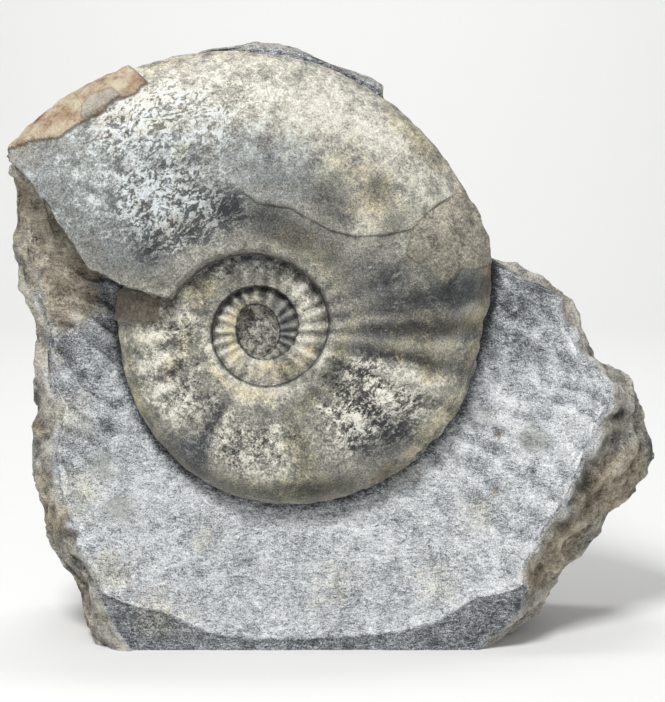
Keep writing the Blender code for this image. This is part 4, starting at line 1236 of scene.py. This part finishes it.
def shell_paint():
    """Cream to near-black mottled shell with leafy stains, ribs, an ochre crust and a dark core, with
    painted light and shade.
    """
    paint = StonePaint("shell_stone")
    coarse, medium, fine, grit = (paint.grain(*grain) for grain in SHELL_GRAINS)
    # swell is the relief's height in mm; in the colour it gives painted light on bumps and painted shade in
    # hollows.
    swell, core = paint.measure("swell"), paint.measure("core")
    edge = paint.total((coarse, 1.1), (medium, 0.6), (fine, 0.4))
    # pale holds pale stains with some painted light on the lower umbilical wall; dark holds dark stains with
    # the painted shadow under the umbilical walls.
    pale = paint.stain("pale", edge, 0.42)
    dark = paint.stain("dark", edge, 0.34)
    fans = paint.ferns(15.0, 4.0, 8.0, 5.0)
    needles = paint.total(fans, (medium, 0.2), (fine, 0.35), (pale, 0.05), (dark, -0.05))
    leaf = paint.step(needles, -0.05, 0.04)
    leaf_light = paint.times(paint.stain("fern", edge, 0.4), paint.calculate("SUBTRACT", leaf, 0.6))
    mottle = paint.total(paint.grain(3.6, 5.0, 0.7, None, 0.6), (fine, 0.25))
    mottled = paint.times(paint.stain("mottled", edge, 0.4), paint.step(mottle, -0.07, 0.07, -0.5, 0.5))
    speck = paint.times(paint.stain("speck", edge), paint.step(paint.grain(2.3, 3.0, 0.6), 0.05, 0.11))
    flakes = paint.times(pale, paint.step(paint.grain(3.0, 1.0, 0.5, None, 0.8), 0.16, 0.19))
    # Painted shade on each umbilical wall and in the crease at its foot, along the seam.
    seam_shade = paint.step(paint.total(paint.measure("seam"), (fine, 0.9)), 0.1, 1.3, -0.40, 0.0)
    light = paint.total(
        SHELL_TONE, seam_shade, (swell, 0.10), (paint.measure("rib"), 0.10), (flakes, 0.20), (pale, 0.25),
        (dark, -0.29), (leaf_light, 0.50), (speck, -0.40), (mottled, 0.34), (coarse, 0.60), (medium, 0.60),
        (fine, 0.75), (grit, 0.95),
    )
    colour = paint.ramp(light, "shell")
    for kind, shade, amount in SHELL_GLAZES:
        strength = paint.times(paint.stain(kind, edge, 0.35), amount)
        colour = paint.blend(strength, colour, tint(*shade), "MULTIPLY")
    core_light = paint.total(0.60, (swell, 0.14), (medium, 1.5), (fine, 1.3), (grit, 0.9))
    colour = paint.blend(core, colour, paint.ramp(core_light, "core"))
    crack_line = paint.step(paint.measure("crack"), 0.2, 0.7, 0.75, 0.0)
    colour = paint.blend(crack_line, colour, tint(72, 68, 60))
    remnant_light = paint.total(0.5, (medium, 0.8), (fine, 0.7), (grit, 0.7))
    remnant = paint.cover(paint.total(paint.measure("remnant"), (fine, 1.5)))
    colour = paint.blend(remnant, colour, paint.ramp(remnant_light, "remnant"))
    layer_light = paint.total(0.5, (coarse, 0.9), (medium, 0.8), (fine, 1.3), (grit, 1.0), (dark, -0.25))
    layer_depth = paint.total(paint.measure("layer"), (medium, 2.5), (fine, 2.0))
    # Each raised patch below gets a line of painted shade at its foot.
    colour = paint.covered(colour, layer_depth, paint.ramp(layer_light, "layer"), 0.8, 0.6, (78, 76, 70))
    scale_light = paint.total(0.5, (coarse, 0.8), (medium, 0.5), (fine, 0.6), (grit, 0.6))
    scale_depth = paint.total(paint.measure("scale"), (fine, 1.2))
    scale_colour = paint.ramp(scale_light, "scale")
    crust_light = paint.total(0.48, (coarse, 2.2), (medium, 0.7), (fine, 0.5), (grit, 0.5), (swell, 0.05))
    crust_depth = paint.total(paint.measure("crust"), (fine, 1.5))
    crust_colour = paint.ramp(crust_light, "crust")
    crust_colour = paint.covered(crust_colour, scale_depth, scale_colour, 0.7, 0.45, (98, 80, 62))
    colour = paint.covered(colour, crust_depth, crust_colour, 0.9, 0.75, (70, 60, 50))
    lumps = paint.total(1.0, (core, 3.0), (paint.cover(crust_depth), 2.0))
    height = paint.total((fine, 1.5), (grit, 0.9), (medium, lumps), (leaf_light, 0.08), (flakes, 0.35))
    return paint.finished(colour, paint.step(light, 0.2, 0.9, 0.5, 0.68), height, 0.9)


def rock_paint():
    """Pale blue-grey stone with a fine peppered grain, tan where it is broken or weathered, with painted
    shade and a painted highlight.
    """
    paint = StonePaint("rock_stone")
    slanted = paint.slanted(-32.0, 0.45)
    coarse, blotches, ragged, medium, grit = (paint.grain(*grain) for grain in ROCK_GRAINS)
    strokes = paint.grain(1.2, 2.0, 0.7, slanted, 0.8)
    # swell is the relief's height in mm; in the colour it gives painted light on bumps and painted shade in
    # hollows.
    swell = paint.measure("swell")
    edge = paint.total((ragged, 0.9), (medium, 0.6), (strokes, 0.4))
    nicks = paint.veins(7.0, 0.010, slanted)
    # dark holds dark spots with painted shade along the crease by the right front edge; shade is painted
    # shade.
    dark = paint.stain("dark", edge, 0.4)
    shade = paint.stain("shade", edge, 0.45)
    # Painted shade on the stone along the shell's outline, where the shell shades it; it darkens the tan
    # stains too.
    shell_contact_shade = paint.step(paint.total(paint.measure("from_shell"), (edge, 4.0)), 0.0, 5.5, -0.40, 0.0)
    # A painted highlight along the edge of the scooped face, broken up by noise.
    ridge = paint.times(paint.measure("ridge"), paint.total(0.10, (edge, 0.5)))
    # The upright strip is painted darker, as painted shade for a face turned away from the light above.
    light = paint.total(
        ROCK_TONE, shell_contact_shade, ridge, (coarse, 0.45), (medium, 0.45), (strokes, 1.05), (grit, 1.50),
        (shade, -0.22), (dark, -0.30), (swell, 0.09), (nicks, -0.25), (paint.measure("strip"), -0.30),
    )
    colour = paint.ramp(light, "rock")
    warm = paint.times(paint.stain("warm", edge, 0.4), 0.8)
    colour = paint.blend(warm, colour, tint(255, 248, 228), "MULTIPLY")
    outside = paint.step(paint.total(paint.measure("past_edge"), (edge, 9.0)), -1.0, 3.0)
    broken_light = paint.total(
        0.55, (blotches, 0.9), (medium, 1.1), (strokes, 0.7), (grit, 0.9), (dark, -0.45), (swell, 0.06),
    )
    colour = paint.blend(outside, colour, paint.ramp(broken_light, "broken"))
    tan = paint.stain("tan", edge, 0.3)
    tan_light = paint.total(
        0.55, (medium, 1.3), (strokes, 0.8), (grit, 0.9), (dark, -0.3), (swell, 0.06), (shell_contact_shade, 0.7),
    )
    colour = paint.blend(paint.times(tan, 0.85), colour, paint.ramp(tan_light, "tan"))
    green = paint.times(paint.stain("green", edge, 0.3), 0.55)
    colour = paint.blend(green, colour, tint(158, 162, 152))
    lumps = paint.total(3.2, (outside, 2.0), (tan, 2.5))
    height = paint.total((strokes, 1.5), (grit, 0.8), (nicks, -0.5), (medium, lumps))
    return paint.finished(colour, 0.88, height, 1.0)


def build_stage():
    """A plain pale floor that bends up into a backdrop."""
    bend = [(math.sin(a), 1 - math.cos(a)) for a in np.linspace(0, math.pi / 2, 16)]
    profile = [(FLOOR_FRONT, 0.0)]
    profile += [(FLOOR_BEND + BEND_RADIUS * y, BEND_RADIUS * z) for y, z in bend]
    profile.append((FLOOR_BEND + BEND_RADIUS, BACKDROP_TOP))
    points = [(x, y, z) for x in (-FLOOR_HALF_WIDTH, FLOOR_HALF_WIDTH) for y, z in profile]
    count = len(profile)
    mesh = bpy.data.meshes.new("floor")
    mesh.from_pydata(points, [], [(k, k + 1, count + k + 1, count + k) for k in range(count - 1)])
    mesh.shade_smooth()
    material = bpy.data.materials.new("floor")
    material.use_nodes = True
    inputs = material.node_tree.nodes["Principled BSDF"].inputs
    inputs["Base Color"].default_value = (0.78, 0.78, 0.77, 1.0)
    inputs["Roughness"].default_value = 0.8
    mesh.materials.append(material)
    floor = bpy.data.objects.new("floor", mesh)
    bpy.context.scene.collection.objects.link(floor)


def build_lights():
    """Soft studio light from above the left, a weak fill from the right, and light on the backdrop."""
    for name, place, aim, size, power in LIGHTS:
        data = bpy.data.lights.new(name, "AREA")
        data.shape = "DISK"
        data.size = size
        data.energy = power
        light = bpy.data.objects.new(name, data)
        light.location = place
        light.rotation_euler = (Vector(aim) - Vector(place)).to_track_quat("-Z", "Y").to_euler()
        bpy.context.scene.collection.objects.link(light)
    world = bpy.data.worlds.new("studio")
    world.use_nodes = True
    background = world.node_tree.nodes["Background"]
    background.inputs["Color"].default_value = (1.0, 1.0, 1.0, 1.0)
    background.inputs["Strength"].default_value = WORLD_STRENGTH
    bpy.context.scene.world = world
    bpy.context.scene.view_settings.view_transform = "Standard"


def build_camera():
    """The camera that sees the slab as the photo does."""
    data = bpy.data.cameras.new("camera")
    data.sensor_width = CAMERA_SENSOR
    data.lens = CAMERA_SENSOR * CAMERA_DISTANCE / PHOTO_HEIGHT
    camera = bpy.data.objects.new("camera", data)
    camera.location = to_world([(*CAMERA_AIM, CAMERA_DISTANCE)])[0]
    camera.rotation_euler = (math.pi / 2 - LEAN, 0, 0)
    bpy.context.scene.collection.objects.link(camera)
    bpy.context.scene.camera = camera


shell, coil_mesh = shell_piece(shell_paint())
rock = rock_piece(rock_paint(), coil_mesh)
for piece, node in ((shell, "ammonite"), (rock, "matrix")):
    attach(piece, "root")
    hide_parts(node)
build_stage()
build_lights()
build_camera()
